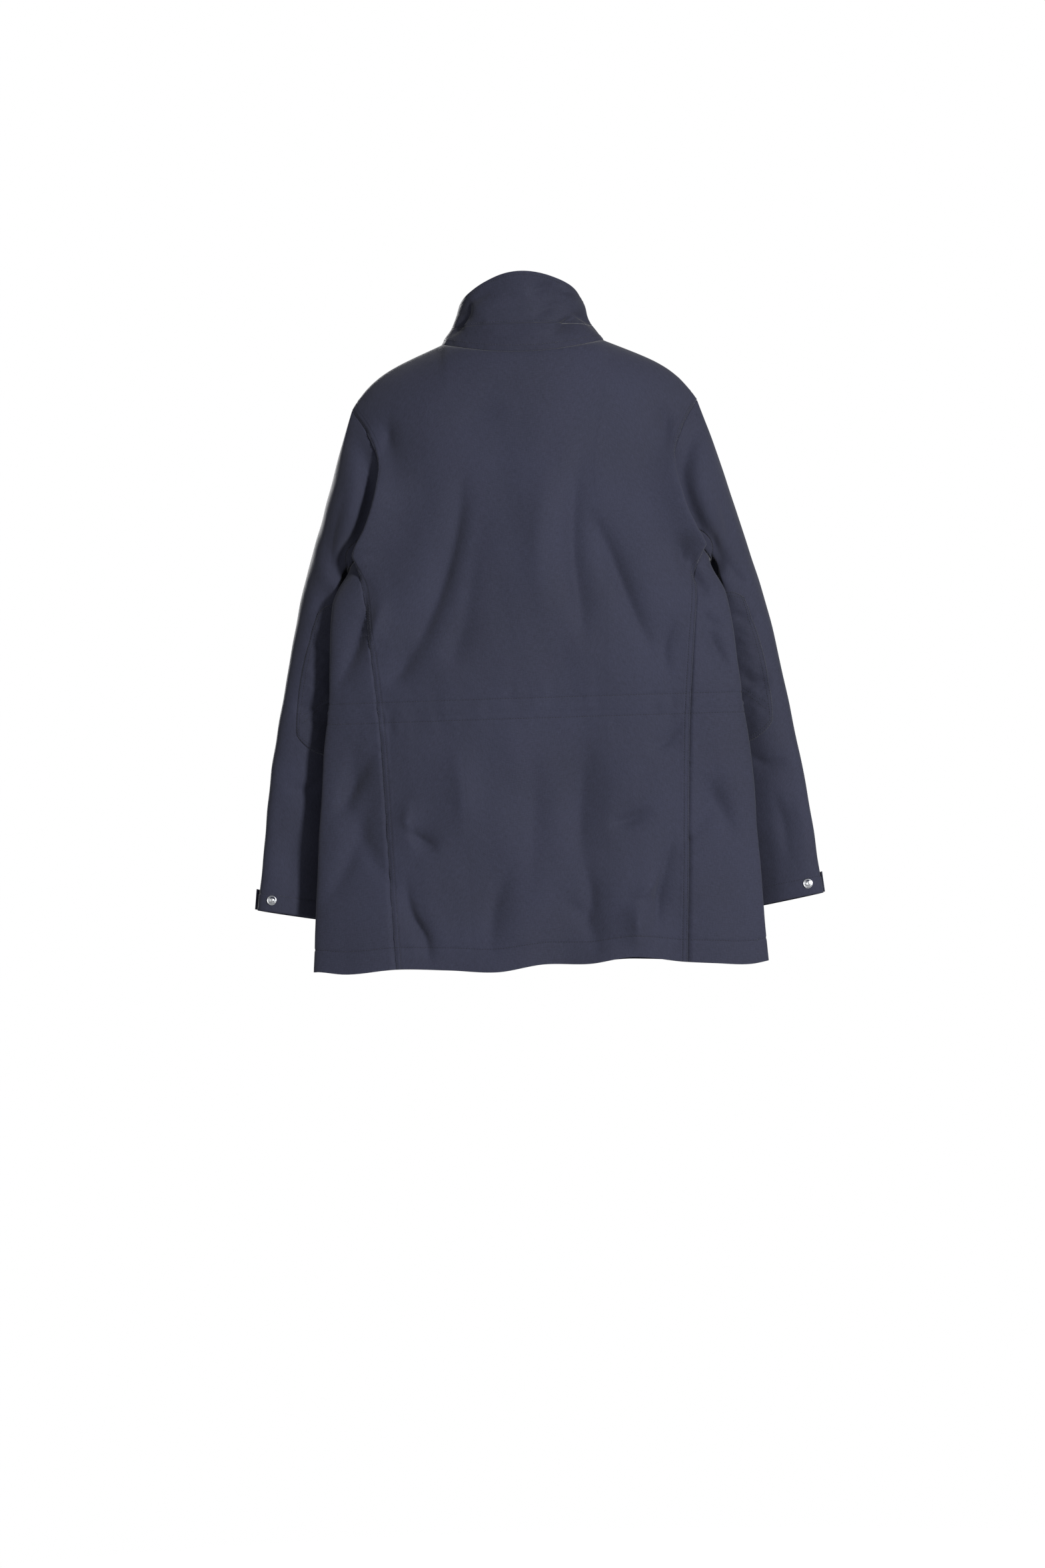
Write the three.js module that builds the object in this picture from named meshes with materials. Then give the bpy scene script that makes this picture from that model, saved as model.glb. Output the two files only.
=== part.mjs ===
// Foul weather jacket, hanging closed from its shoulders.
// Millimetres, +Z up. The front faces -Y, the wearer's left is +X, and the origin is the centre of the
// neck at shoulder level, where a coat hanger carries the jacket.
import * as THREE from 'three';

// ---------------------------------------------------------------- driving dimensions
const SHELL = 2.4; // thickness of the doubled, taped shell cloth
const SEAM_GAP = 0.8; // half of the clear line between two panels at a seam
const HEM_Z = -786;
const NECK = { halfWidth: 105, sideZ: 20, backZ: 4.5, frontZ: -75, backY: 56, frontY: 64 };
const SHOULDER = { x: 223, z: -60, roundDrop: 80 };
const UNDERARM_Z = -264;
const SIDE_SEAM_TOP_Z = -250;
const FRONT_DEPTH = 64; // the zip line is straight and upright at this depth
const SECTION_POWER = 1.9; // below 2 gives the lens-shaped section of a hanging coat
const ZIP = { bottom: -765, top: 15, chainHalf: 3.2, tapeWidth: 16, edge: 5.4, retainer: 13 };
const FLAP = {
  top: -86, bottom: -772, hingeX: 35, edgeX: -36, overZipY: -71.5, onStudsY: -68.2, thick: 2.8,
};
const FLAP_SNAP_Z = [-130, -330, -530, -730];
const FLAP_SNAP_X = -27;
const POCKET = { x0: 70, x1: 200, top: -532, bottom: -702, depth: 12, wall: 2, rim: 0.8 };
const POCKET_FLAP = { top: -514, bottom: -574, over: 13.4, margin: 3, thick: 2.6 };
const WAIST_Z = -453;
const CORD_RADIUS = 1.5;
const COLLAR = { topHalf: 84, sideTop: 75, backTop: 108, frontTop: 22, backY: 50, bulge: 6, thick: 3 };
const STAND_SHARE = 0.36; // of the collar's height, below the fall
const CUFF = { outerZ: -703, innerZ: -722, outerX: 366 };
const BACK_SEAM_DEG = 128; // sleeve seams, counted from the outer line round the back
const FRONT_SEAM_DEG = 252;

// ---------------------------------------------------------------- materials
const cloth = (name, color, roughness = 0.85) =>
  new THREE.MeshStandardMaterial({ name, color, roughness, metalness: 0 });
const metal = (name, color, roughness = 0.3) =>
  new THREE.MeshStandardMaterial({ name, color, roughness, metalness: 0.9 });
const NAVY = cloth('navy_shell', 0x343849);
const NAVY_DEEP = cloth('navy_trim', 0x2b2e3d);
const LINING = cloth('lining', 0x23252e, 0.6);
const TAPE = cloth('zip_tape', 0x20222c);
const CORD = cloth('cord', 0x2b2e3d);
const STEEL = metal('snap_steel', 0xb9bcc2);
const ZIP_METAL = metal('zip_metal', 0x8d9097);

// ---------------------------------------------------------------- small mathematics
const lerp = (a, b, t) => a + (b - a) * t;
const clamp01 = (t) => Math.min(1, Math.max(0, t));
const rad = (degrees) => (degrees * Math.PI) / 180;
const steps = (count, from = 0, to = 1) =>
  Array.from({ length: count + 1 }, (_, i) => lerp(from, to, i / count));

// A smooth function through [x, y] rows with rising x.
function smoothThrough(rows) {
  const slope = rows.map((row, i) => {
    const a = rows[Math.max(0, i - 1)];
    const b = rows[Math.min(rows.length - 1, i + 1)];
    return (b[1] - a[1]) / (b[0] - a[0]);
  });
  return (x) => {
    const last = rows.length - 2;
    let i = rows.findIndex((row) => x < row[0]) - 1;
    if (i < 0) i = x < rows[0][0] ? 0 : last;
    const span = rows[i + 1][0] - rows[i][0];
    const t = clamp01((x - rows[i][0]) / span);
    const h00 = (1 + 2 * t) * (1 - t) ** 2;
    const h10 = t * (1 - t) ** 2;
    const h01 = t * t * (3 - 2 * t);
    const h11 = t * t * (t - 1);
    return h00 * rows[i][1] + h10 * span * slope[i] + h01 * rows[i + 1][1] + h11 * span * slope[i + 1];
  };
}

// ---------------------------------------------------------------- torso form
// Half-width of the closed body section, from the hem up to the shoulder.
const bodyHalfWidth = smoothThrough([
  [-786, 293], [-620, 284], [-500, 274], [-430, 265], [-312, 252], [-264, 232], [-60, 226], [30, 226],
]);
const backDepth = smoothThrough([[-786, 62], [-453, 58], [-300, 67], [-150, 74], [0, 66], [30, 62]]);
// Inner edge of the sleeve opening, and the seam between back and side panel.
const armholeX = smoothThrough([
  [-264, 232], [-250, 221], [-215, 201], [-175, 188], [-132, 190], [-88, 206], [-60, 223],
]);
const backSeamX = smoothThrough([
  [-786, 187], [-655, 193], [-500, 198], [-415, 204], [-340, 211], [-250, 221],
]);
const frontSeamX = smoothThrough([[-786, 238], [-500, 228], [-340, 222], [-250, 221]]);

// The side of the body lies behind its middle, because the sleeves hang in front of it.
const sideY = smoothThrough([[-786, 20], [-340, 22], [-264, 10], [-150, 3], [-60, 0], [30, 0]]);

const lens = (share) => Math.max(0, 1 - Math.abs(share) ** SECTION_POWER) ** (1 / SECTION_POWER);

function shoulderLineZ(x) {
  const t = clamp01((Math.abs(x) - NECK.halfWidth) / (SHOULDER.x - NECK.halfWidth));
  return NECK.sideZ - (NECK.sideZ - SHOULDER.z) * (0.62 * t + 0.38 * t ** 5);
}

const neckShare = (x) => Math.sqrt(Math.max(0, 1 - (x / NECK.halfWidth) ** 2));

// Each half of the body: its depth, its neckline and the edge that its panel is cut to.
const BACK = {
  sign: 1,
  depth: backDepth,
  neckY: (x) => NECK.backY * neckShare(x),
  neckZ: (x) => NECK.sideZ - (NECK.sideZ - NECK.backZ) * neckShare(x) ** 2,
  seamX: backSeamX,
};
const FRONT = {
  sign: -1,
  depth: () => FRONT_DEPTH,
  neckY: (x) => NECK.frontY * neckShare(x),
  neckZ: (x) => NECK.sideZ - (NECK.sideZ - NECK.frontZ) * neckShare(x) ** 1.5,
  seamX: frontSeamX,
};

// Where one half lies at x and z, below its rounded shoulder.
function halfY(half, x, z) {
  const middle = sideY(z);
  return middle + (half.sign * half.depth(z) - middle) * lens(x / bodyHalfWidth(z));
}

function panelHalfWidth(half, z) {
  if (z > SHOULDER.z) return SHOULDER.x;
  return z > SIDE_SEAM_TOP_Z ? armholeX(z) : half.seamX(z);
}

// A point of one half: share runs across the panel from the middle to its edge, and t runs from the
// shoulder and neck edge (0) to the hem (1). The first part of t turns over the rounded shoulder.
const TURN_SHARE = 0.2;
function halfPoint(half, share, t, bottom = HEM_Z) {
  const topX = share * SHOULDER.x;
  const atNeck = Math.abs(topX) < NECK.halfWidth;
  const topZ = atNeck ? half.neckZ(topX) : shoulderLineZ(topX);
  const topY = atNeck ? half.neckY(topX) : 0;
  const turn = (Math.PI / 2) * clamp01(t / TURN_SHARE);
  const below = clamp01((t - TURN_SHARE) / (1 - TURN_SHARE));
  const kneeZ = topZ - SHOULDER.roundDrop;
  const z = t < TURN_SHARE ? topZ - SHOULDER.roundDrop * (1 - Math.cos(turn)) : lerp(kneeZ, bottom, below);
  const x = share * panelHalfWidth(half, z);
  const y = lerp(half.sign * topY, halfY(half, x, z), Math.sin(turn));
  return new THREE.Vector3(x, y, z);
}

// The y of the sleeve opening's edge on one half, at height z.
function armholeY(half, z) {
  const turn = Math.acos(1 - Math.min(1, Math.max(0, SHOULDER.z - z) / SHOULDER.roundDrop));
  return halfY(half, armholeX(z), z) * Math.sin(turn);
}

// The closed body section by angle: 90 degrees is the middle of the back, 0 the wearer's left side.
function sectionPoint(angle, z, inset = 0) {
  const power = 2 / SECTION_POWER;
  const c = Math.cos(angle);
  const s = Math.sin(angle);
  const farY = s > 0 ? backDepth(z) - inset : inset - FRONT_DEPTH;
  const width = bodyHalfWidth(z) - 1.4 * inset;
  const x = width * Math.sign(c) * Math.abs(c) ** power;
  return new THREE.Vector3(x, lerp(sideY(z), farY, Math.abs(s) ** power), z);
}
const sectionAngle = (x, z) => Math.acos(clamp01(x / bodyHalfWidth(z)) ** (SECTION_POWER / 2));

// ---------------------------------------------------------------- surfaces and closed bodies
// A surface is { at(u, v), core, side }: core is a point inside the body, level with the middle of the
// surface, and side makes its normals point away from that point.
function surfaceFrom(at, core) {
  const surface = { at, side: 1 };
  const outward = at(0.5, 0.5).sub(core);
  surface.side = Math.sign(normalOn(surface, 0.5, 0.5).dot(outward));
  return surface;
}

function normalOn(surface, u, v, step = 0.002) {
  const inside = (t) => Math.min(1 - step, Math.max(step, t));
  const [a, b] = [inside(u), inside(v)];
  const along = surface.at(a + step, b).sub(surface.at(a - step, b));
  const down = surface.at(a, b + step).sub(surface.at(a, b - step));
  return along.cross(down).normalize().multiplyScalar(surface.side);
}

function offsetPoint(surface, u, v, distance) {
  return surface.at(u, v).add(normalOn(surface, u, v).multiplyScalar(distance));
}

function skin(surface, us, vs, distance) {
  const depthAt = typeof distance === 'function' ? distance : () => distance;
  return vs.map((v) => us.map((u) => offsetPoint(surface, u, v, depthAt(u, v))));
}

// Joins two equal grids of points into one closed body; a wrapping grid closes on itself sideways.
function bodyBetween(outer, inner, wraps = false) {
  const rows = outer.length;
  const cols = outer[0].length;
  const positions = [outer, inner].flat(2).flatMap((p) => [p.x, p.y, p.z]);
  const index = [];
  const at = (side, i, j) => (side * rows + i) * cols + (j % cols);
  const quad = (a, b, c, d) => index.push(a, b, c, a, c, d);
  const spans = wraps ? cols : cols - 1;
  const last = rows - 1;
  for (let j = 0; j < spans; j += 1) {
    for (let i = 0; i < last; i += 1) {
      quad(at(0, i, j), at(0, i, j + 1), at(0, i + 1, j + 1), at(0, i + 1, j));
      quad(at(1, i, j), at(1, i + 1, j), at(1, i + 1, j + 1), at(1, i, j + 1));
    }
    quad(at(0, 0, j), at(1, 0, j), at(1, 0, j + 1), at(0, 0, j + 1));
    quad(at(0, last, j), at(0, last, j + 1), at(1, last, j + 1), at(1, last, j));
  }
  if (!wraps) {
    const end = cols - 1;
    for (let i = 0; i < last; i += 1) {
      quad(at(0, i, 0), at(0, i + 1, 0), at(1, i + 1, 0), at(1, i, 0));
      quad(at(0, i, end), at(1, i, end), at(1, i + 1, end), at(0, i + 1, end));
    }
  }
  return facingOut(positions, index);
}

function facingOut(positions, index) {
  const vertex = (i) => new THREE.Vector3().fromArray(positions, 3 * i);
  let volume = 0;
  for (let i = 0; i < index.length; i += 3) {
    const [a, b, c] = [vertex(index[i]), vertex(index[i + 1]), vertex(index[i + 2])];
    volume += a.dot(b.cross(c));
  }
  const turned = volume < 0 ? index.slice().reverse() : index;
  const geometry = new THREE.BufferGeometry();
  geometry.setAttribute('position', new THREE.Float32BufferAttribute(positions, 3));
  geometry.setIndex(turned);
  geometry.computeVertexNormals();
  return geometry;
}

// A sheet of cloth between two distances from a surface.
const slab = (surface, us, vs, near, far) =>
  bodyBetween(skin(surface, us, vs, near), skin(surface, us, vs, far));

function mirrored(geometry) {
  const copy = geometry.clone();
  copy.scale(-1, 1, 1);
  copy.setIndex(Array.from(copy.index.array).reverse());
  return copy;
}

// ---------------------------------------------------------------- assembly helpers
const jacket = new THREE.Group();

function add(name, geometry, material) {
  const mesh = new THREE.Mesh(geometry, material.clone());
  mesh.name = name;
  jacket.add(mesh);
  return mesh;
}

function addPair(name, leftGeometry, material) {
  add(`${name}_left`, leftGeometry, material);
  add(`${name}_right`, mirrored(leftGeometry), material);
}

// Stands a geometry made along +Z on a surface point, facing along its normal.
function standOn(geometry, point, normal, lift) {
  const turn = new THREE.Quaternion().setFromUnitVectors(new THREE.Vector3(0, 0, 1), normal);
  const place = point.clone().add(normal.clone().multiplyScalar(lift));
  return geometry.clone().applyMatrix4(new THREE.Matrix4().compose(place, turn, new THREE.Vector3(1, 1, 1)));
}

function lathe(profile, segments = 10) {
  const points = profile.map(([r, z]) => new THREE.Vector2(r, z));
  const geometry = new THREE.LatheGeometry(points, segments);
  geometry.rotateX(Math.PI / 2);
  return geometry;
}

// ---------------------------------------------------------------- body panels
// The panel's edges keep half a seam line clear, and its rows close up where the shoulder turns.
const TOP_START = 0.005;
const PANEL_SHARE = 1 - SEAM_GAP / 200;

const BODY_CORE = new THREE.Vector3(0, 0, -400);

function halfSurface(half, shareFrom, shareTo, bottom = HEM_Z) {
  const at = (u, v) => halfPoint(half, lerp(shareFrom, shareTo, u), lerp(TOP_START, 1, v), bottom);
  return surfaceFrom(at, BODY_CORE);
}

function sidePoint(s, t) {
  const rise = SIDE_SEAM_TOP_Z - UNDERARM_Z;
  const z = lerp(UNDERARM_Z + rise * s * s, HEM_Z, t);
  const seam = sectionAngle((s > 0 ? backSeamX : frontSeamX)(z), z);
  const open = Math.sqrt(Math.max(0, z - UNDERARM_Z) / rise);
  const start = z > UNDERARM_Z ? sectionAngle(armholeX(z), z) : 0;
  const share = clamp01((Math.abs(s) - open) / Math.max(1e-6, 1 - open));
  return sectionPoint(Math.sign(s) * lerp(start, seam, share), z);
}

const SIDE_SHARE = 0.988;
const sideSurface = () => surfaceFrom((u, v) => sidePoint(lerp(-SIDE_SHARE, SIDE_SHARE, u), v), BODY_CORE);

// Rows close together over the shoulder and the armhole, and wide apart below.
const bodyRows = [
  ...steps(5, 0, TURN_SHARE),
  ...steps(6, TURN_SHARE, 0.36).slice(1),
  ...steps(7, 0.36, 1).slice(1),
];

// The front panel's inner edge is straight, so its share shrinks where the panel is wide.
function frontPanelSurface(bottom = HEM_Z) {
  const at = (u, v) => {
    const t = lerp(TOP_START, 1, v);
    const level = halfPoint(FRONT, 0, t, bottom).z;
    const from = ZIP.edge / panelHalfWidth(FRONT, level);
    return halfPoint(FRONT, lerp(from, PANEL_SHARE, u), t, bottom);
  };
  return surfaceFrom(at, BODY_CORE);
}

function addBodyPanels() {
  const half = [0.15, 0.3, 0.4, 0.47, 0.62, 0.8, 1];
  const across = [...half.map((share) => -share).reverse(), 0, ...half].map((share) => 0.5 + 0.5 * share);
  const back = halfSurface(BACK, -PANEL_SHARE, PANEL_SHARE);
  add('back_panel', slab(back, across, bodyRows, 0, -SHELL), NAVY);
  const frontAcross = [0, 0.12, 0.24, 0.34, 0.42, 0.49, 0.65, 0.83, 1];
  addPair('front_panel', slab(frontPanelSurface(), frontAcross, bodyRows, 0, -SHELL), NAVY);
  addPair('side_panel', slab(sideSurface(), steps(8), steps(8), 0, -SHELL), NAVY);
}

// ---------------------------------------------------------------- lining, waist channel and cord
const LINING_INSET = 14;
const LINING_THICK = 1.2;

function ringGrid(zs, angles, inset) {
  return zs.map((z) => angles.map((angle) => sectionPoint(angle, z, inset)));
}

function addLining() {
  const turns = steps(26, 0, 2 * Math.PI).slice(0, -1);
  const levels = steps(5, -760, UNDERARM_Z - 12);
  const outer = ringGrid(levels, turns, LINING_INSET);
  const inner = ringGrid(levels, turns, LINING_INSET + LINING_THICK);
  add('body_lining', bodyBetween(outer, inner, true), LINING);
  const rows = steps(6, 0.07, 1);
  const bottom = UNDERARM_Z - 8;
  const far = -LINING_INSET + 4;
  const across = steps(8, 0.03, 0.97);
  const yoke = halfSurface(BACK, -0.96, 0.96, bottom);
  add('upper_back_lining', slab(yoke, across, rows, far, far - LINING_THICK), LINING);
  const chest = halfSurface(FRONT, 0.12, 0.93, bottom);
  addPair('upper_front_lining', slab(chest, steps(4, 0.02, 1), rows, far, far - LINING_THICK), LINING);
}

// The channel and its cord run round the back from one front side seam to the other.
const WAIST_TURN = rad(52);
const CORD_INSET = 7;
const CHANNEL_INSET = 11;
function addWaist() {
  const angles = steps(32, -WAIST_TURN, Math.PI + WAIST_TURN);
  const levels = [WAIST_Z - 16, WAIST_Z + 16];
  const [outer, inner] = [CHANNEL_INSET, CHANNEL_INSET + 1].map((inset) => ringGrid(levels, angles, inset));
  add('waist_channel', bodyBetween(outer, inner), LINING);
  const route = angles.map((angle) => sectionPoint(angle, WAIST_Z, CORD_INSET));
  add('waist_cord', cordAlong(route, CORD_RADIUS, 60), CORD);
}

function cordAlong(points, radius, count) {
  const path = new THREE.CatmullRomCurve3(points);
  const section = new THREE.Shape(steps(8, 0, 2 * Math.PI).slice(0, -1)
    .map((a) => new THREE.Vector2(radius * Math.cos(a), radius * Math.sin(a))));
  return new THREE.ExtrudeGeometry(section, { steps: count, extrudePath: path, curveSegments: 1 });
}

// ---------------------------------------------------------------- sleeves
// The sleeve's inner line stays short under the arm while the outer line runs down from the shoulder,
// so that its rings turn from the upright armhole to lie square across the hanging sleeve.
const innerLineX = smoothThrough([
  [0, 232], [0.1, 242], [0.2, 243], [0.3, 234], [0.4, 227], [0.5, 223], [0.75, 239], [1, 268],
]);
const innerLineY = smoothThrough([
  [0, 10], [0.1, 1], [0.2, -20], [0.3, -44], [0.4, -60], [0.5, -67], [0.75, -66], [1, -54],
]);
const innerLineZ = smoothThrough([
  [0, UNDERARM_Z], [0.1, -270], [0.2, -282], [0.3, -310], [0.4, -353], [0.5, -408], [0.75, -562],
  [1, CUFF.innerZ],
]);
const outerLineY = smoothThrough([[0, 0], [0.2, -8], [0.4, -16], [1, -14]]);
const sleeveDepth = smoothThrough([[0, 38], [0.1, 42], [0.3, 44], [0.4, 40], [0.5, 35], [0.75, 27], [1, 20]]);
const sleeveTurn = smoothThrough([[0, 0], [0.15, 0], [0.4, 26], [0.5, 30], [1, 24]]); // degrees, forwards
const HEAD_SHARE = 0.22; // of the sleeve, over which it leaves the shape of the armhole

function outerLine(v) {
  const swing = 1.55 * v - 0.62 * v * v + 0.07 * v ** 3;
  const x = SHOULDER.x + (CUFF.outerX - SHOULDER.x) * swing;
  return new THREE.Vector3(x, outerLineY(v), lerp(SHOULDER.z, CUFF.outerZ, v));
}
const innerLine = (v) => new THREE.Vector3(innerLineX(v), innerLineY(v), innerLineZ(v));
const sleeveCentre = (v) => outerLine(v).add(innerLine(v)).multiplyScalar(0.5);

function sleeveRing(angle, v, inset = 0) {
  const centre = sleeveCentre(v);
  const width = outerLine(v).sub(centre);
  width.setLength(width.length() - inset);
  const turn = rad(sleeveTurn(v));
  const depth = new THREE.Vector3(-Math.sin(turn), Math.cos(turn), 0);
  depth.multiplyScalar(sleeveDepth(v) - inset);
  return centre.addScaledVector(width, Math.cos(angle)).addScaledVector(depth, Math.sin(angle));
}

function armholePoint(angle) {
  const z = lerp(UNDERARM_Z, SHOULDER.z, 0.5 + 0.5 * Math.cos(angle));
  const half = Math.sin(angle) >= 0 ? BACK : FRONT;
  return new THREE.Vector3(armholeX(z), armholeY(half, z), z);
}

// Moves a sleeve point that would lie in the body outwards, so that the sleeve rests against its side.
// The size of a point is 1 on the body's section grown by the clearance, and less inside it.
const SLEEVE_CLEARANCE = 7;
const RESTING_SOFTNESS = 0.06;
function clearOfBody(p, inset = 0) {
  const gap = (SLEEVE_CLEARANCE + inset) * clamp01((UNDERARM_Z - p.z) / 40);
  const width = bodyHalfWidth(p.z) + 1.4 * gap;
  const middle = sideY(p.z);
  const y = p.y - middle;
  const depth = (y > 0 ? backDepth(p.z) - middle : FRONT_DEPTH + middle) + gap;
  const size = Math.abs(p.x / width) ** SECTION_POWER + Math.abs(y / depth) ** SECTION_POWER;
  const excess = (size - 1) / RESTING_SOFTNESS;
  if (gap === 0 || excess > 20) return p;
  const eased = 1 + RESTING_SOFTNESS * Math.log(1 + Math.exp(excess));
  const start = clamp01((UNDERARM_Z - p.z) / 12);
  const scale = lerp(1, (eased / size) ** (1 / SECTION_POWER), start);
  return p.set(p.x * scale, middle + y * scale, p.z);
}

function sleevePoint(angle, v) {
  const fade = Math.max(0, 1 - v / HEAD_SHARE) ** 2;
  const shift = armholePoint(angle).sub(sleeveRing(angle, 0)).multiplyScalar(fade);
  return clearOfBody(sleeveRing(angle, v).add(shift));
}

function sleeveSurface(degFrom, degTo, vFrom, vTo) {
  const at = (u, v) => sleevePoint(rad(lerp(degFrom, degTo, u)), lerp(vFrom, vTo, v));
  return surfaceFrom(at, sleeveCentre(lerp(vFrom, vTo, 0.5)));
}

const SLEEVE_START = 0.008;
const SLEEVE_SEAM_DEG = 1.4; // half of the clear line between its two panels
const SLEEVE_THICK = 1.6;
const sleeveRows = [0, 0.03, 0.07, 0.12, 0.18, 0.24, 0.29, 0.335, 0.38, 0.43, 0.5, 0.6, 0.72, 0.86, 1];

function addSleeves() {
  const front = FRONT_SEAM_DEG - 360;
  const gap = SLEEVE_SEAM_DEG;
  const upper = sleeveSurface(front + gap, BACK_SEAM_DEG - gap, SLEEVE_START, 1);
  addPair('sleeve_upper', slab(upper, steps(12), sleeveRows, 0, -SLEEVE_THICK), NAVY);
  const under = sleeveSurface(BACK_SEAM_DEG + gap, FRONT_SEAM_DEG - gap, SLEEVE_START, 1);
  addPair('sleeve_under', slab(under, steps(8), sleeveRows, 0, -SLEEVE_THICK), NAVY);
  const turns = steps(16, 0, 2 * Math.PI).slice(0, -1);
  const levels = [0.31, 0.36, 0.42, 0.5, 0.64, 0.8, 0.965];
  const tube = (thick) => levels.map((v) => {
    const inset = lerp(11, 5.5, clamp01((v - 0.31) / 0.3)) + thick;
    return turns.map((angle) => clearOfBody(sleeveRing(angle, v, inset), inset));
  });
  addPair('sleeve_lining', bodyBetween(tube(0), tube(LINING_THICK), true), LINING);
}

// ---------------------------------------------------------------- elbow patches
const ELBOW = { deg: 88, halfDeg: 56, v: 0.52, halfV: 0.157 };
function elbowSurface() {
  const at = (u, v) => {
    const [a, b] = [2 * u - 1, 2 * v - 1];
    const p = a * Math.sqrt(1 - 0.36 * b * b);
    const q = b * Math.sqrt(1 - 0.36 * a * a);
    return sleevePoint(rad(ELBOW.deg + ELBOW.halfDeg * p), ELBOW.v + ELBOW.halfV * q);
  };
  return surfaceFrom(at, sleeveCentre(ELBOW.v));
}

// ---------------------------------------------------------------- collar and hang loop
function collarPoint(angle, share, inset) {
  const c = Math.cos(angle);
  const s = Math.abs(Math.sin(angle));
  const isBack = Math.sin(angle) > 0;
  const depth = isBack ? lerp(NECK.backY, COLLAR.backY, share) : NECK.frontY;
  const lowDrop = isBack ? (NECK.sideZ - NECK.backZ) * s ** 2 : (NECK.sideZ - NECK.frontZ) * s ** 1.5;
  const { sideTop, backTop, frontTop } = COLLAR;
  const topRise = isBack ? (backTop - sideTop) * s ** 0.8 : (frontTop - sideTop) * s ** 1.2;
  const bulge = COLLAR.bulge * Math.sin(Math.PI * share) * (isBack ? 1 : Math.abs(c)) - inset;
  const x = (lerp(NECK.halfWidth, COLLAR.topHalf, share) + bulge) * c;
  const y = (depth + bulge) * Math.sin(angle);
  const z = lerp(NECK.sideZ - lowDrop, sideTop + topRise, share);
  return new THREE.Vector3(x, y, z + SEAM_GAP);
}

function collarStrip(shareFrom, shareTo, inset, thick, endDeg, columns, rows) {
  const angles = steps(columns, rad(-90 + endDeg), rad(270 - endDeg));
  const shares = steps(rows, shareFrom, shareTo);
  const grid = (depth) => shares.map((share) => angles.map((angle) => collarPoint(angle, share, depth)));
  return bodyBetween(grid(inset), grid(inset + thick));
}

function addCollar() {
  add('collar_stand', collarStrip(0.02, STAND_SHARE - 0.005, 0, COLLAR.thick, 3.6, 22, 2), NAVY_DEEP);
  add('collar_fall', collarStrip(STAND_SHARE + 0.005, 1, 0, COLLAR.thick, 3.6, 22, 3), NAVY_DEEP);
  add('collar_facing', collarStrip(0.02, 0.97, 5, 2, 12, 18, 3), NAVY_DEEP);
}

// A short strap that stands off the middle of the collar facing, to take a coat hook.
const LOOP = { half: 24, slope: 2, wallY: 47.6, reach: 10.5, thick: 1.6, bottom: 12, width: 8 };
function addHangLoop() {
  const { half, slope, wallY, reach, thick } = LOOP;
  const frontY = wallY - reach;
  const outer = [[-half, wallY], [-half + slope, frontY], [half - slope, frontY], [half, wallY]];
  const inner = outer.map(([x, y]) => [x - thick * Math.sign(x), y === frontY ? y + thick : y]).reverse();
  const strap = extruded([...outer, ...inner], LOOP.width);
  strap.translate(0, 0, LOOP.bottom);
  add('hang_loop', strap, TAPE);
}

// An outline of [x, y] rows drawn out along +Z.
function extruded(rows, depth) {
  const outline = new THREE.Shape(rows.map(([x, y]) => new THREE.Vector2(x, y)));
  return new THREE.ExtrudeGeometry(outline, { depth, bevelEnabled: false });
}

// ---------------------------------------------------------------- front zip
function bar(x0, x1, y0, y1, z0, z1) {
  const geometry = new THREE.BoxGeometry(x1 - x0, y1 - y0, z1 - z0);
  geometry.translate((x0 + x1) / 2, (y0 + y1) / 2, (z0 + z1) / 2);
  return geometry;
}

function addZip() {
  const { bottom, top, chainHalf, tapeWidth, retainer } = ZIP;
  addPair('zip_tape', bar(chainHalf + 0.3, tapeWidth, -59.2, -58.4, bottom, top), TAPE);
  addPair('zip_chain', bar(0.15, chainHalf, -63, -58.6, bottom, top), ZIP_METAL);
  add('zip_retainer', bar(-4.6, 4.6, -65, -58, bottom - retainer, bottom - 0.4), ZIP_METAL);
  add('zip_slider', sliderGeometry(), ZIP_METAL);
  add('zip_puller', pullerGeometry(), ZIP_METAL);
}

// A plate over the chain with a cheek down each side of it and two ears for the puller, drawn out along
// the zip. Half of its section is listed, from the middle of its face round to the middle of its back.
const SLIDER = { plateY: -67.2, earY: -70.6, backY: -64.6, cheekY: -60.2, length: 11 };
function sliderGeometry() {
  const { plateY, earY, backY, cheekY } = SLIDER;
  const right = [
    [2.4, plateY], [2.4, earY], [3.7, earY], [3.7, plateY], [6.2, plateY],
    [6.2, backY], [4.8, backY], [4.8, cheekY], [3.6, cheekY], [3.6, backY],
  ];
  const left = right.map(([x, y]) => [-x, y]).reverse();
  return extruded([...right, ...left], SLIDER.length);
}

const PULLER = { axisY: -69.2, axisZ: 6, half: 2.1, knuckle: 1.4, length: 30, thick: 1.5 };
function pullerGeometry() {
  const { half, knuckle, length, thick } = PULLER;
  const outline = new THREE.Shape();
  outline.absarc(0, 0, knuckle, rad(-60), rad(240), false);
  outline.lineTo(-thick / 2, -length);
  outline.lineTo(thick / 2, -length);
  const options = { depth: 2 * half, bevelEnabled: false, curveSegments: 5 };
  const geometry = new THREE.ExtrudeGeometry(outline, options);
  geometry.translate(0, 0, -half);
  geometry.applyMatrix4(new THREE.Matrix4().makeBasis(
    new THREE.Vector3(0, 1, 0), new THREE.Vector3(0, 0, 1), new THREE.Vector3(1, 0, 0)));
  geometry.translate(0, PULLER.axisY, PULLER.axisZ);
  return geometry;
}

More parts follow.
